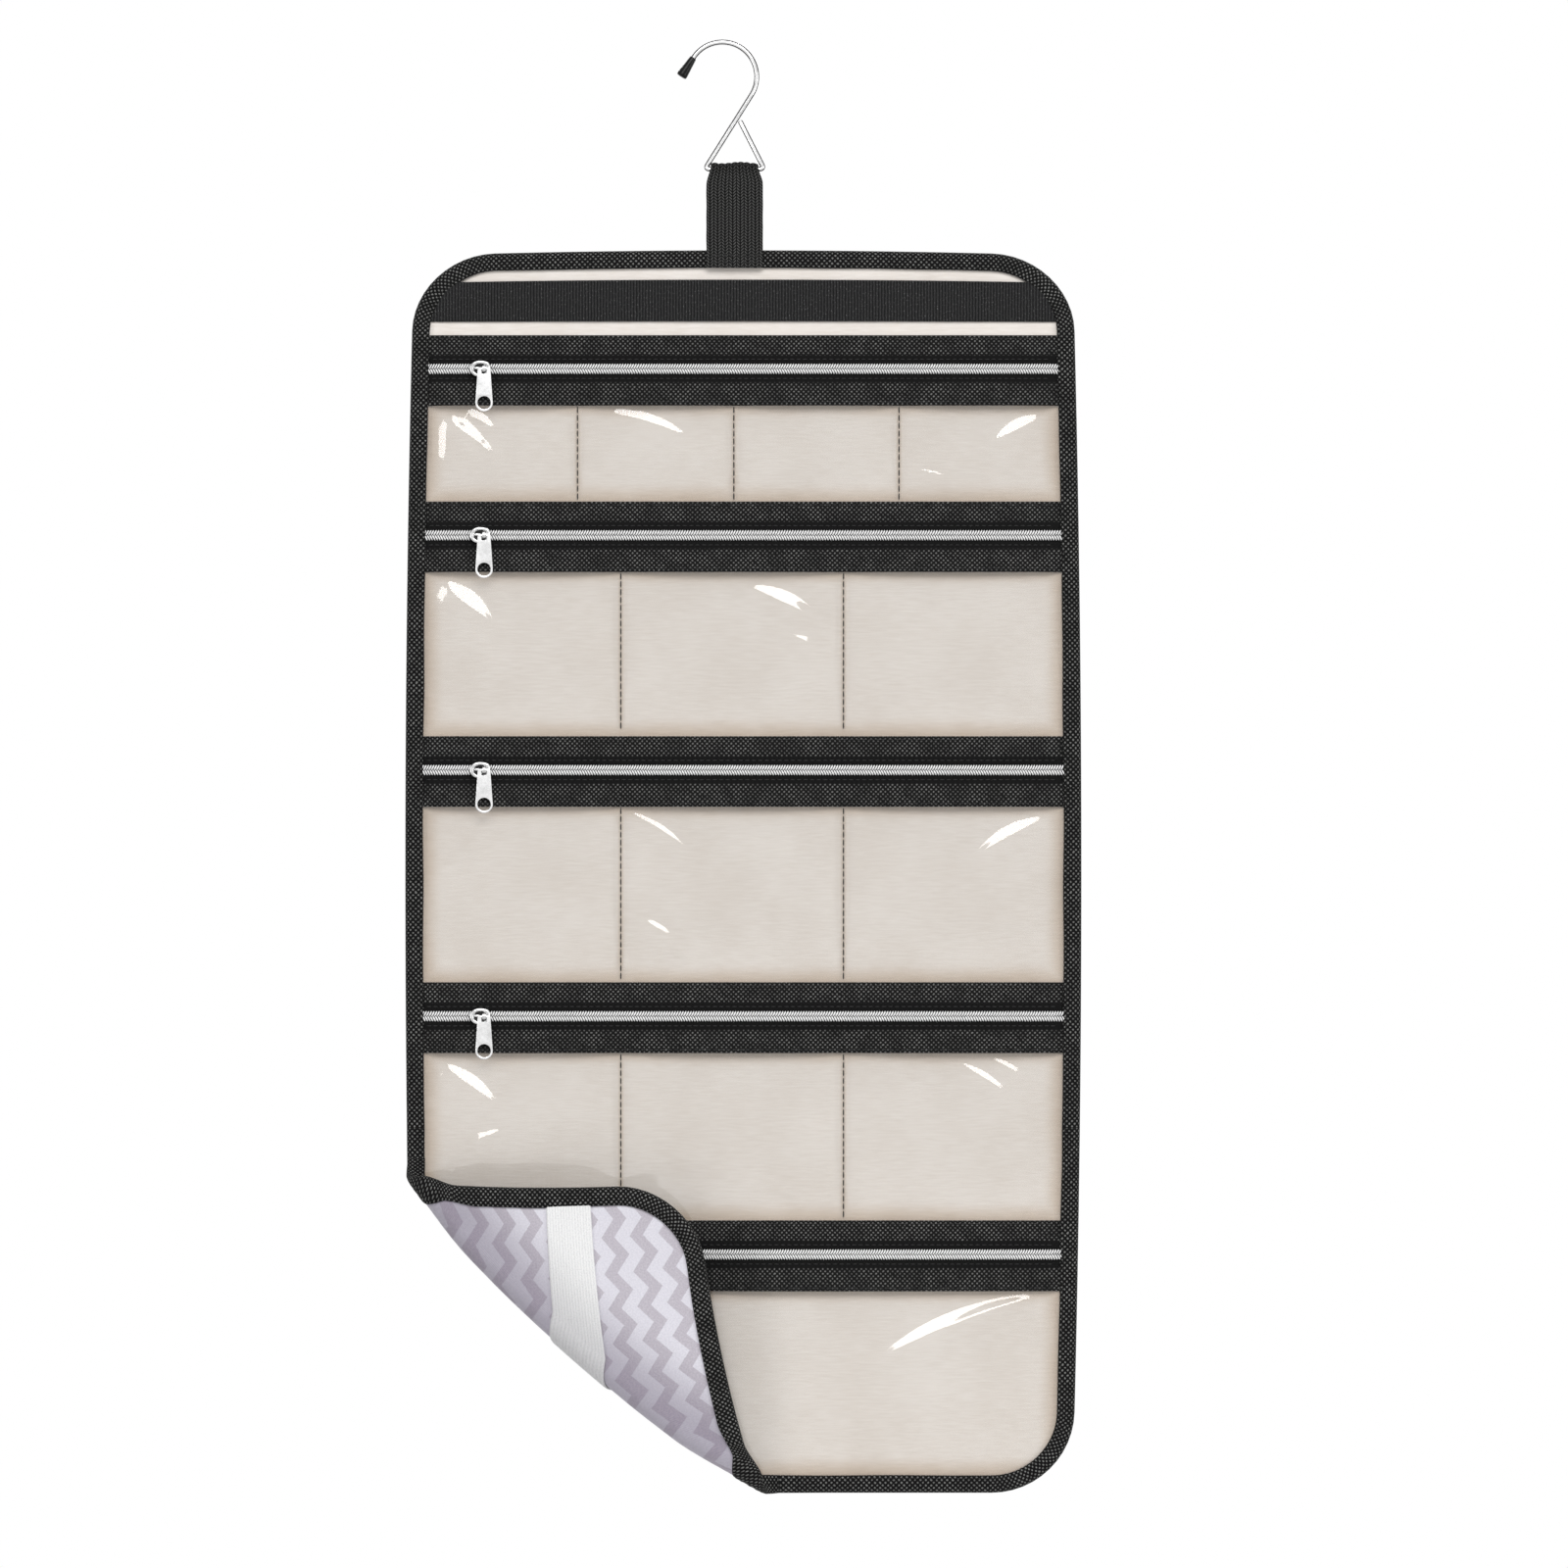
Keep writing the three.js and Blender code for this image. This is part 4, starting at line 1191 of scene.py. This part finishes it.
def windowFront(row, x, d):
    number = row["number"]
    cell = cellLift(row, x)
    flap = underFlap(x, d)
    gap = besideBinding(x, d)
    down = min(max((d - row["windowTop"]) / (row["bottom"] - row["windowTop"]), 0), 1)
    hung = (pocket["lift"] - 0.1 + pocket["bagMouth"] * cell * flap) * (1 - smooth(0.5, 1, down))
    swell = pocket["puff"] * cell * math.sin(math.pi * down) * (0.8 + 0.7 * ripple(x, d, 48, 11 + number))
    crease = foldAt(number, x, d) * flap * smooth(-0.5, 4, gap) * (1 - smooth(0.93, 1, down))
    body = 0.3 + hung + max(swell, 0) * flap
    return 0.2 + body * mix(0.35, 1, smooth(-0.8, 12, gap)) + crease


def windowBack(row, x, d):
    front = windowFront(row, x, d)
    return front - 0.22 if front > 0.5 else front * 0.55


def windowEdge(row, x, d):
    # how far a place on the clear front is from the seams round its cell, which sets its painted shade
    walls = [abs(x - seam) * 5 for seam in row["seams"]]
    return min([besideBinding(x, d), row["bottom"] - d, (d - row["windowTop"]) * 1.6] + walls)


teeth = {
    "fromEdge": 7.6,
    "step": 1.17,
    "offset": 0.58,  # how much further along the lower teeth are
    # (along, out from the middle, height) of a tooth's bends: up from the tape, over, and down beside the middle
    "path": ((-0.48, 0.16, 0.5), (-0.24, 0.52, 0.92), (0.1, 1.1, 1.0), (0.42, 1.75, 0.8), (0.55, 2.1, 0.25)),
    "radii": (0.00027, 0.00035, 0.00037, 0.00036, 0.00027),  # in metres
    "base": 2.0,
    "height": 1.25,
}


def toothAt(bunch, x, d, side, lift):
    bunch.tube([
        drape(x + dx, d + side * dd, (teeth["base"] + h * teeth["height"]) * lift) for dx, dd, h in teeth["path"]
    ], teeth["radii"])


def addTeeth(row):
    number, d = row["number"], row["zip"]
    reach = halfWidthAt(d) - teeth["fromEdge"]
    for part in ("", "_corner") if number == 5 else ("",):
        bunch = Bunch()
        x = -reach
        while x < reach:
            s = creaseDistance(x, d)
            if (part and s > bendEnd - 5) or (not part and (number < 5 or s < bendStart + 5)):
                lift = underBinding(x, d, 0.4)
                toothAt(bunch, x, d, -1, lift)
                toothAt(bunch, x + teeth["offset"], d, 1, lift)
            x += teeth["step"]
        made = bunch.make(f"coil_{number}{part}", "coil", sharp=80)
        if part:
            settle(made, "corner_flap")
        else:
            settle(made, bodyOfRow(number), [f"zipper_coil_{number}"])


def bodyOfRow(number):
    return "top_panel" if number == 1 else "middle_panel" if number < 5 else "bottom_panel"


def addPocketPiece(row, name, node, look, rowsDown, across, front, back, hold, edge=None):
    # one strip of a pocket row; a strip that reaches the turned corner is parted at it
    number = row["number"]
    folded = number == 5 or (number == 4 and look == "window")
    lining = "lining_top" if number < 3 else "lining_middle" if number < 5 else "lining_bottom"
    turned = []  # the same cloth's parts on and beyond the turned edge
    for part in ("bend", "corner", "bottom") if folded else (None,):
        cloth = flatPatch(across, rowsDown, pocket["frontInset" if look == "window" else "inset"])
        if part:
            creasePart(cloth, part)
        if sum(face.calc_area() for face in cloth.faces) < pocket["leastArea"]:
            cloth.free()
            continue
        label = f"{name}_{number}" + (f"_{part}" if part in ("bend", "corner") else "")
        edgeAt = partial(edge, row) if edge else None
        made = thicken(label, cloth, partial(front, row), partial(back, row), look, edgeAt)
        if part in ("bend", "corner"):
            turned.append(made)
            nodes = ["corner_pocket"] if label == "band_lower_5_corner" else None
            settle(made, "cornerFront" if part == "bend" else "corner_flap", nodes)
        else:
            if look != "tape":
                declareCloth(made, turned)
            settle(made, "bottom_panel" if part else hold, [f"{node}_{number}"])


def addStitches(row, upperHold, lowerHold):
    # the seams between cells and four lines along the bands, one piece for each body or fold
    number = row["number"]
    seamThreads = Bunch()
    threads = {"bottom_panel" if number == 4 else bodyOfRow(number): seamThreads}
    for seam in row["seams"]:
        d = row["windowTop"] + 0.5
        while d < row["bottom"] - 3:
            ends = [(seam, at, windowFront(row, seam, at) + 0.05) for at in (d, d + pocket["seamStitch"])]
            stitch(seamThreads, *ends, pocket["seamThread"])
            d += pocket["seamStep"]
    for d, surface, hold in (
        (row["top"] + 1.5, upperBandFront, upperHold),
        (row["bandEnd"] - 2.1, upperBandFront, upperHold),
        (row["lowerStart"] + 2.1, lowerBandFront, lowerHold),
        (row["windowTop"] - 1.6, lowerBandFront, lowerHold),
    ):
        sewn = threads.setdefault(hold, Bunch())
        x = -halfWidthAt(d) + 9.5
        while x < halfWidthAt(d) - 12:
            if creaseDistance(x, d) < bendStart - 2:
                ends = [(at, d, surface(row, at, d)) for at in (x, x + pocket["rowStitch"])]
                stitch(sewn, *ends, pocket["rowThread"])
            x += pocket["rowStep"]
    for hold, sewn in threads.items():
        if sewn.points:
            settle(sewn.make(f"stitches_{number}_{hold.split('_')[0]}", "thread", "band", sharp=80), hold)


for row in rows:
    number = row["number"]
    body = bodyOfRow(number)
    upperHold = "upper" if number == 2 else body
    lowerHold = "lower" if number == 4 else body
    fine = columns(3.0)
    shines = [f for f in glossFolds if f[0] == number]
    windowRows = closeSteps(
        row["windowTop"] - 0.8, row["bottom"] + (0.6 if number < 5 else 1.0), [(f[2], f[4]) for f in shines],
    )
    lines = set(closeSteps(-columnPlan["half"], columnPlan["half"], [sorted((f[1], f[3])) for f in shines]))
    for seam in row["seams"]:
        lines = {x for x in lines if abs(x - seam) > 1.4} | {seam + off for off in (-1.1, -0.4, 0.4, 1.1)}
    for settings in (
        (
            "band_upper", "upper_band", "band", clothRows(row["top"], row["bandEnd"]), fine,
            upperBandFront, upperBandBack, upperHold, lambda row, x, d: row["bandEnd"] - d,
        ), (
            "band_lower", "lower_band", "band", clothRows(row["lowerStart"], row["windowTop"]), fine,
            lowerBandFront, lowerBandBack, lowerHold, lambda row, x, d: d - row["lowerStart"],
        ), (
            "tape", "zipper_tape", "tape", steps(row["bandEnd"] + 0.05, row["lowerStart"] - 0.05, 1.1), fine,
            lambda row, x, d: 1.8 * underBinding(x, d), lambda row, x, d: 1.2 * underBinding(x, d, 0.2), body,
        ), (
            "clear_front", "window", "window", windowRows, sorted(lines),
            windowFront, windowBack, body, windowEdge,
        ),
    ):
        addPocketPiece(row, *settings)
    addTeeth(row)
    addStitches(row, upperHold, lowerHold)
    print("pocket row", number, "made")


# zipper sliders and their pulls

sliderPlan = {
    "length": 9.4,
    "height": 7.6,
    "fromSide": 33.6,
    "hiddenX": -96.97,  # the last one lies under the turned corner
    "underside": 3.72,
    "rail": 2.5,
    # (scale, forward) of the body's outline as it rises
    "rings": (
        (0.22, 4.12), (0.44, 4.12), (0.54, 4.2), (0.6, 4.55), (0.66, 4.82), (0.76, 4.93), (0.87, 4.86), (0.95, 4.6),
        (0.99, 4.2), (1.0, 3.8),
    ),
    # (scale, forward) of the latch cover, and its middle and half sizes
    "cover": ((1.0, 4.0), (0.97, 4.5), (0.82, 4.95), (0.5, 5.2), (0.15, 5.26)),
    "coverAt": (-1.15, -0.25),
    "coverHalf": (1.75, 0.72),
    "paintedRecessShade": 0.56,  # share of the body that is sunk, and painted dark as its shade
    "bailShift": 1.9,
    # (down, forward) of the bail's middle line on one side, each with its way out
    "bail": (
        (1.2, 4.3, 1, 0), (1.2, 5.6, 1, 0), (1.08, 6.2, 0.85, 0.5), (0.75, 6.55, 0.5, 0.85), (0.3, 6.68, 0.1, 1),
    ),
    # (across, out) round the bail's wire
    "bailSection": (
        (-0.8, 0.12), (-0.68, 0.3), (0, 0.34), (0.68, 0.3), (0.8, 0.12), (0.8, -0.18), (0.68, -0.3), (-0.68, -0.3),
        (-0.8, -0.18),
    ),
}
pullPlan = {
    "eye": 5.55,
    "thickness": 0.95,
    "topHalf": 2.85,
    "ringRadius": 3.9,
    "holeRadius": 2.95,
    "ringDrop": 15.3,
    "slotHalf": 1.1,
    "slotLength": 1.95,
    "eyeBar": 0.9,
    "bevel": 0.22,
}


def ovalRing(scale, depthAt):
    # the slider's outline: oval at its nose, squarer behind
    ring = []
    for angle in circle(48):
        c, s = math.cos(angle), math.sin(angle)
        power = 2 / (2.1 if c < 0 else mix(2.1, 3.4, c))
        x = sliderPlan["length"] / 2 * scale * math.copysign(abs(c) ** power, c)
        d = sliderPlan["height"] / 2 * scale * math.copysign(abs(s) ** power, s)
        ring.append((x, d, depthAt(d)))
    return ring


def addSlider(number, x0, d0):
    def place(x, d, n):
        return toSpace(x0 + x, d0 + d, n)

    def underside(d):
        return mix(sliderPlan["underside"], sliderPlan["rail"], smooth(2.3, 2.75, abs(d)))

    rings = [ovalRing(scale, lambda d, n=n: n) for scale, n in sliderPlan["rings"]]
    rings += [ovalRing(1.0, underside), ovalRing(0.92, underside)]
    rings += [ovalRing(scale, lambda d: sliderPlan["underside"]) for scale in (0.74, 0.25)]
    bunch = Bunch()
    bunch.loft([[place(*spot) for spot in ring] for ring in rings])
    (coverX, coverD), (coverWide, coverHigh) = sliderPlan["coverAt"], sliderPlan["coverHalf"]
    bunch.loft([
        [
            place(coverX + coverWide * scale * math.cos(a), coverD + coverHigh * scale * math.sin(a), n)
            for a in circle(20)
        ]
        for scale, n in sliderPlan["cover"]
    ])
    arch = [(-d, n, -outD, outN) for d, n, outD, outN in sliderPlan["bail"]] + list(sliderPlan["bail"][::-1])
    bunch.loft([
        [
            place(sliderPlan["bailShift"] + across, d + out * outD, n + out * outN)
            for across, out in sliderPlan["bailSection"]
        ]
        for d, n, outD, outN in arch
    ])
    made = bunch.make(f"slider_body_{number}", "slider", sharp=42)
    # the sunk middle gets the dark metal: painted shade in the recess
    made.data.materials.append(finishes["paintedRecessShade"])
    wide, high = (sliderPlan["paintedRecessShade"] * sliderPlan[size] / 2 for size in ("length", "height"))
    for face in made.data.polygons:
        spot = face.center * 1000
        reach = ((spot.x - panel["shift"] - x0) / wide) ** 2 + ((panel["top"] - spot.z - d0) / high) ** 2
        if -spot.y < 4.3 and reach < 1 and face.normal.y < -0.5:
            face.material_index = 1
    settle(made, f"slider_{number}", [f"slider_{number}"])


def inward(loop):
    # each point's direction into the metal, from its two neighbours
    found = []
    for i, point in enumerate(loop):
        before, here, after = (Vector(p) for p in (loop[i - 1], point, loop[(i + 1) % len(loop)]))
        a = (here - before).normalized()
        b = (after - here).normalized()
        normal = Vector((-(a.y + b.y), a.x + b.x)).normalized()
        found.append(normal * (1 / max(0.5, abs(normal.dot(Vector((-a.y, a.x)))))))
    return found


def addPlate(bunch, loops, place, half, bevel):
    # a flat plate with rounded edges, its outline first and then its holes; place turns (x, d, n) into space
    profile = [(bevel, half), (bevel * 0.3, half - bevel * 0.3), (0, half - bevel)]
    profile += [(off, -n) for off, n in profile[::-1]]
    caps = [[], []]
    for loop in loops:
        ways = inward(loop)
        base, size = len(bunch.points), len(loop)
        for off, n in profile:
            for point, way in zip(loop, ways):
                x, d = point[0] + way.x * off, point[1] + way.y * off
                bunch.points.append(place(x, d, n))
                bunch.spots.append((x, d))
        bunch.walls(base, size, len(profile))
        for cap, r in zip(caps, (0, len(profile) - 1)):
            cap.append([base + r * size + i for i in range(size)])
    for cap in caps:
        order = [i for loop in cap for i in loop]
        for triangle in tessellate_polygon([[Vector((*bunch.spots[i], 0)) for i in loop] for loop in cap]):
            bunch.faces.append(tuple(order[i] for i in triangle))


def addPull(number, x0, d0):
    drop, radius, hole = pullPlan["ringDrop"], pullPlan["ringRadius"], pullPlan["holeRadius"]
    half, top = pullPlan["topHalf"], pullPlan["eyeBar"] / 2
    side = [(half - 0.35, -top), (half, 0.1)] + [(mix(half, radius, t), mix(0, drop, t)) for t in (0.25, 0.5, 0.75)]
    outer = side + [
        (radius * math.cos(math.pi * i / 20), drop + radius * math.sin(math.pi * i / 20)) for i in range(21)
    ] + [(-x, d) for x, d in side[::-1]]
    ring = [(hole * math.cos(a), drop - hole * math.sin(a)) for a in circle(32)]
    wide, low = pullPlan["slotHalf"], top + pullPlan["slotLength"]
    slot = [(wide, top), (-wide, top), (-wide, low), (wide, low)]
    bunch = Bunch()
    addPlate(
        bunch, [outer, ring, slot],
        lambda x, d, n: toSpace(x0 + x, d0 + d, pullPlan["eye"] + n), pullPlan["thickness"] / 2, pullPlan["bevel"],
    )
    made = bunch.make(f"pull_plate_{number}", "pull", "slider", sharp=40)
    settle(made, f"pull_{number}", [f"slider_pull_{number}"])


for row in rows:
    x = sliderPlan["hiddenX"] if row["number"] == 5 else sliderPlan["fromSide"] - panel["width"] / 2
    addSlider(row["number"], x, row["zip"])
    addPull(row["number"], x + sliderPlan["bailShift"], row["zip"])
print("sliders and pulls made")


# hook and its rubber tip

hookPlan = {
    "wire": 1.1,  # radius
    "arc": 15.4,
    "from": 147,
    "to": -33,
    "bar": -55.6,
    "barLeft": -7.8,
    "barRight": 18.8,
    "bend": 2.4,
    "returnX": 7.9,
    "returnRise": 21.5,
    # (along, radius) of the rubber tip
    "tip": (
        (-0.05, 1.16), (0.0, 1.38), (0.35, 1.52), (3.0, 1.78), (6.5, 2.16), (8.6, 2.38), (9.3, 2.42), (9.75, 2.3),
        (10.0, 1.9), (10.1, 1.1),
    ),
}


def onHook(degrees):
    angle = math.radians(degrees)
    rise = hookPlan["wire"] - hookPlan["arc"]
    return Vector((hookPlan["arc"] * math.cos(angle), 0, rise + hookPlan["arc"] * math.sin(angle)))


def wireLine():
    start = onHook(hookPlan["from"])
    tipWay = math.radians(hookPlan["from"] + 90)
    way = Vector((math.cos(tipWay), 0, math.sin(tipWay)))
    line = [start + way * 5.3, start + way * 2.5]
    line += [onHook(a) for a in steps(hookPlan["to"], hookPlan["from"], 3)[::-1]]
    bar = hookPlan["bar"]
    corners = [
        Vector((hookPlan["barLeft"], 0, bar)), Vector((hookPlan["barRight"], 0, bar)),
        Vector((hookPlan["returnX"], 0, bar + hookPlan["returnRise"])),
    ]
    here = line[-1]
    for corner, after in zip(corners, corners[1:]):
        start = corner + (here - corner).normalized() * hookPlan["bend"]
        end = corner + (after - corner).normalized() * hookPlan["bend"]
        line += [here.lerp(start, t) for t in (0.33, 0.66)]
        line += [start.lerp(corner, t).lerp(corner.lerp(end, t), t) for t in (i / 8 for i in range(9))]
        here = line[-1]
    line += [here.lerp(corners[2], t) for t in (0.33, 0.66, 0.965, 0.99, 1.0)]
    return line, way


line, tipWay = wireLine()
radii = [hookPlan["wire"] / 1000] * len(line)
radii[-2] *= 0.94
radii[-1] *= 0.75
bunch = Bunch()
bunch.tube([p / 1000 for p in line], radii, sides=24)
settle(bunch.make("hook_wire_drawn", "wire"), "hook", ["hook_wire"])

start = onHook(hookPlan["from"])
sideWay = Vector((-tipWay.z, 0, tipWay.x))
bunch = Bunch()
bunch.loft([
    [
        (start + tipWay * along + radius * (math.cos(a) * sideWay + math.sin(a) * Vector((0, 1, 0)))) / 1000
        for a in circle(32)
    ]
    for along, radius in hookPlan["tip"]
])
settle(bunch.make("hook_tip_moulded", "rubber", sharp=40), "hook", ["hook_tip"])
print("hook made")


# webbing loop

loopPlan = {
    "middle": 5.5,
    "half": 12.6,
    "topHalf": 10.6,
    "thickness": 1.2,
    "ribHeight": 0.42,
    "columns": 72,
    # the band's middle line as (forward, height above the bar's middle), before and behind the bar
    "front": (
        (2.75, -44.1), (2.72, -42), (2.6, -39), (2.55, -36), (2.4, -30), (2.25, -22), (2.1, -14), (2.05, -8),
        (2.0, -3),
    ),
    "back": (
        (-2.0, -3), (-2.2, -8), (-3.0, -14), (-4.1, -22), (-5.2, -30), (-6.1, -36), (-6.35, -39), (-6.35, -42),
        (-6.35, -44.1),
    ),
    "overBar": 2,
    "stitchRows": ((3.42, 2.4), (3.42, 5.2), (-7.0, 2.4), (-7.0, 5.2)),  # (forward, up)
}


def loopLine():
    line = [Vector(p) for p in loopPlan["front"]]
    turns = (math.pi * i / 14 for i in range(15))
    line += [loopPlan["overBar"] * Vector((math.cos(a), math.sin(a))) for a in turns]
    line += [Vector(p) for p in loopPlan["back"]]
    dense = []
    for a, b in zip(line, line[1:]):
        count = max(1, math.ceil((b - a).length / 1.0))
        dense += [a.lerp(b, i / count) for i in range(count)]
    return dense + [line[-1]]


line = loopLine()
outs = []
for i in range(len(line)):
    ahead = (line[min(i + 1, len(line) - 1)] - line[max(i - 1, 0)]).normalized()
    outs.append(Vector((ahead.y, -ahead.x)))
points, spots = [], []
for side in (1, -1):
    travelled = 0.0
    for i, here in enumerate(line):
        if i:
            travelled += (here - line[i - 1]).length
        half = mix(loopPlan["half"], loopPlan["topHalf"], smooth(-7, 1.5, here.y))
        for k in range(loopPlan["columns"] + 1):
            a = 2 * k / loopPlan["columns"] - 1
            ribs = loopPlan["half"] * a / webbing["rib"]
            rib = loopPlan["ribHeight"] * abs(math.cos(math.pi * ribs)) ** 0.7 if side > 0 else 0
            thin = loopPlan["thickness"] / 2 * (1 - 0.55 * smooth(0.93, 1.0, abs(a)))
            off = side * thin + rib * (1 - smooth(0.94, 1.0, abs(a)))
            sag = 0.32 * math.sin(a * 4.2 + 0.6) * smooth(-5, 2, here.y)
            n = here.x + outs[i].x * off
            z = here.y + outs[i].y * off + sag
            edge = half * a + 0.12 * ripple(travelled, a, 6, 4.4)
            points.append(Vector((loopPlan["middle"] + edge, -n, hookPlan["bar"] + z)) / 1000)
            spots.append((loopPlan["half"] * a, travelled))
wide = loopPlan["columns"] + 1
sheet = len(line) * wide
faces = []
for i in range(len(line) - 1):
    for a in range(i * wide, i * wide + wide - 1):
        faces.append((a, a + 1, a + 1 + wide, a + wide))
        faces.append((sheet + a, sheet + a + wide, sheet + a + 1 + wide, sheet + a + 1))
    for a in (i * wide, i * wide + wide - 1):
        faces.append((a, a + wide, sheet + a + wide, sheet + a))
for i in (0, len(line) - 1):
    for a in range(i * wide, i * wide + wide - 1):
        faces.append((a, a + 1, sheet + a + 1, sheet + a))
made = piece("hanging_loop_woven", points, faces, spots, "webbing", sharp=60)
declareCloth(made)
settle(made, "top_panel", ["hanging_loop"])
bunch = Bunch()
for n, up in loopPlan["stitchRows"]:
    x = -10.6
    while x < 10:
        ends = [(loopPlan["middle"] - panel["shift"] + x + s, 7.9 - up, n) for s in (0, 2.0)]
        stitch(bunch, *ends, 0.26)
        x += 2.8
settle(bunch.make("loop_stitches", "thread", "webbing", sharp=80), "top_panel")
print("webbing loop made")
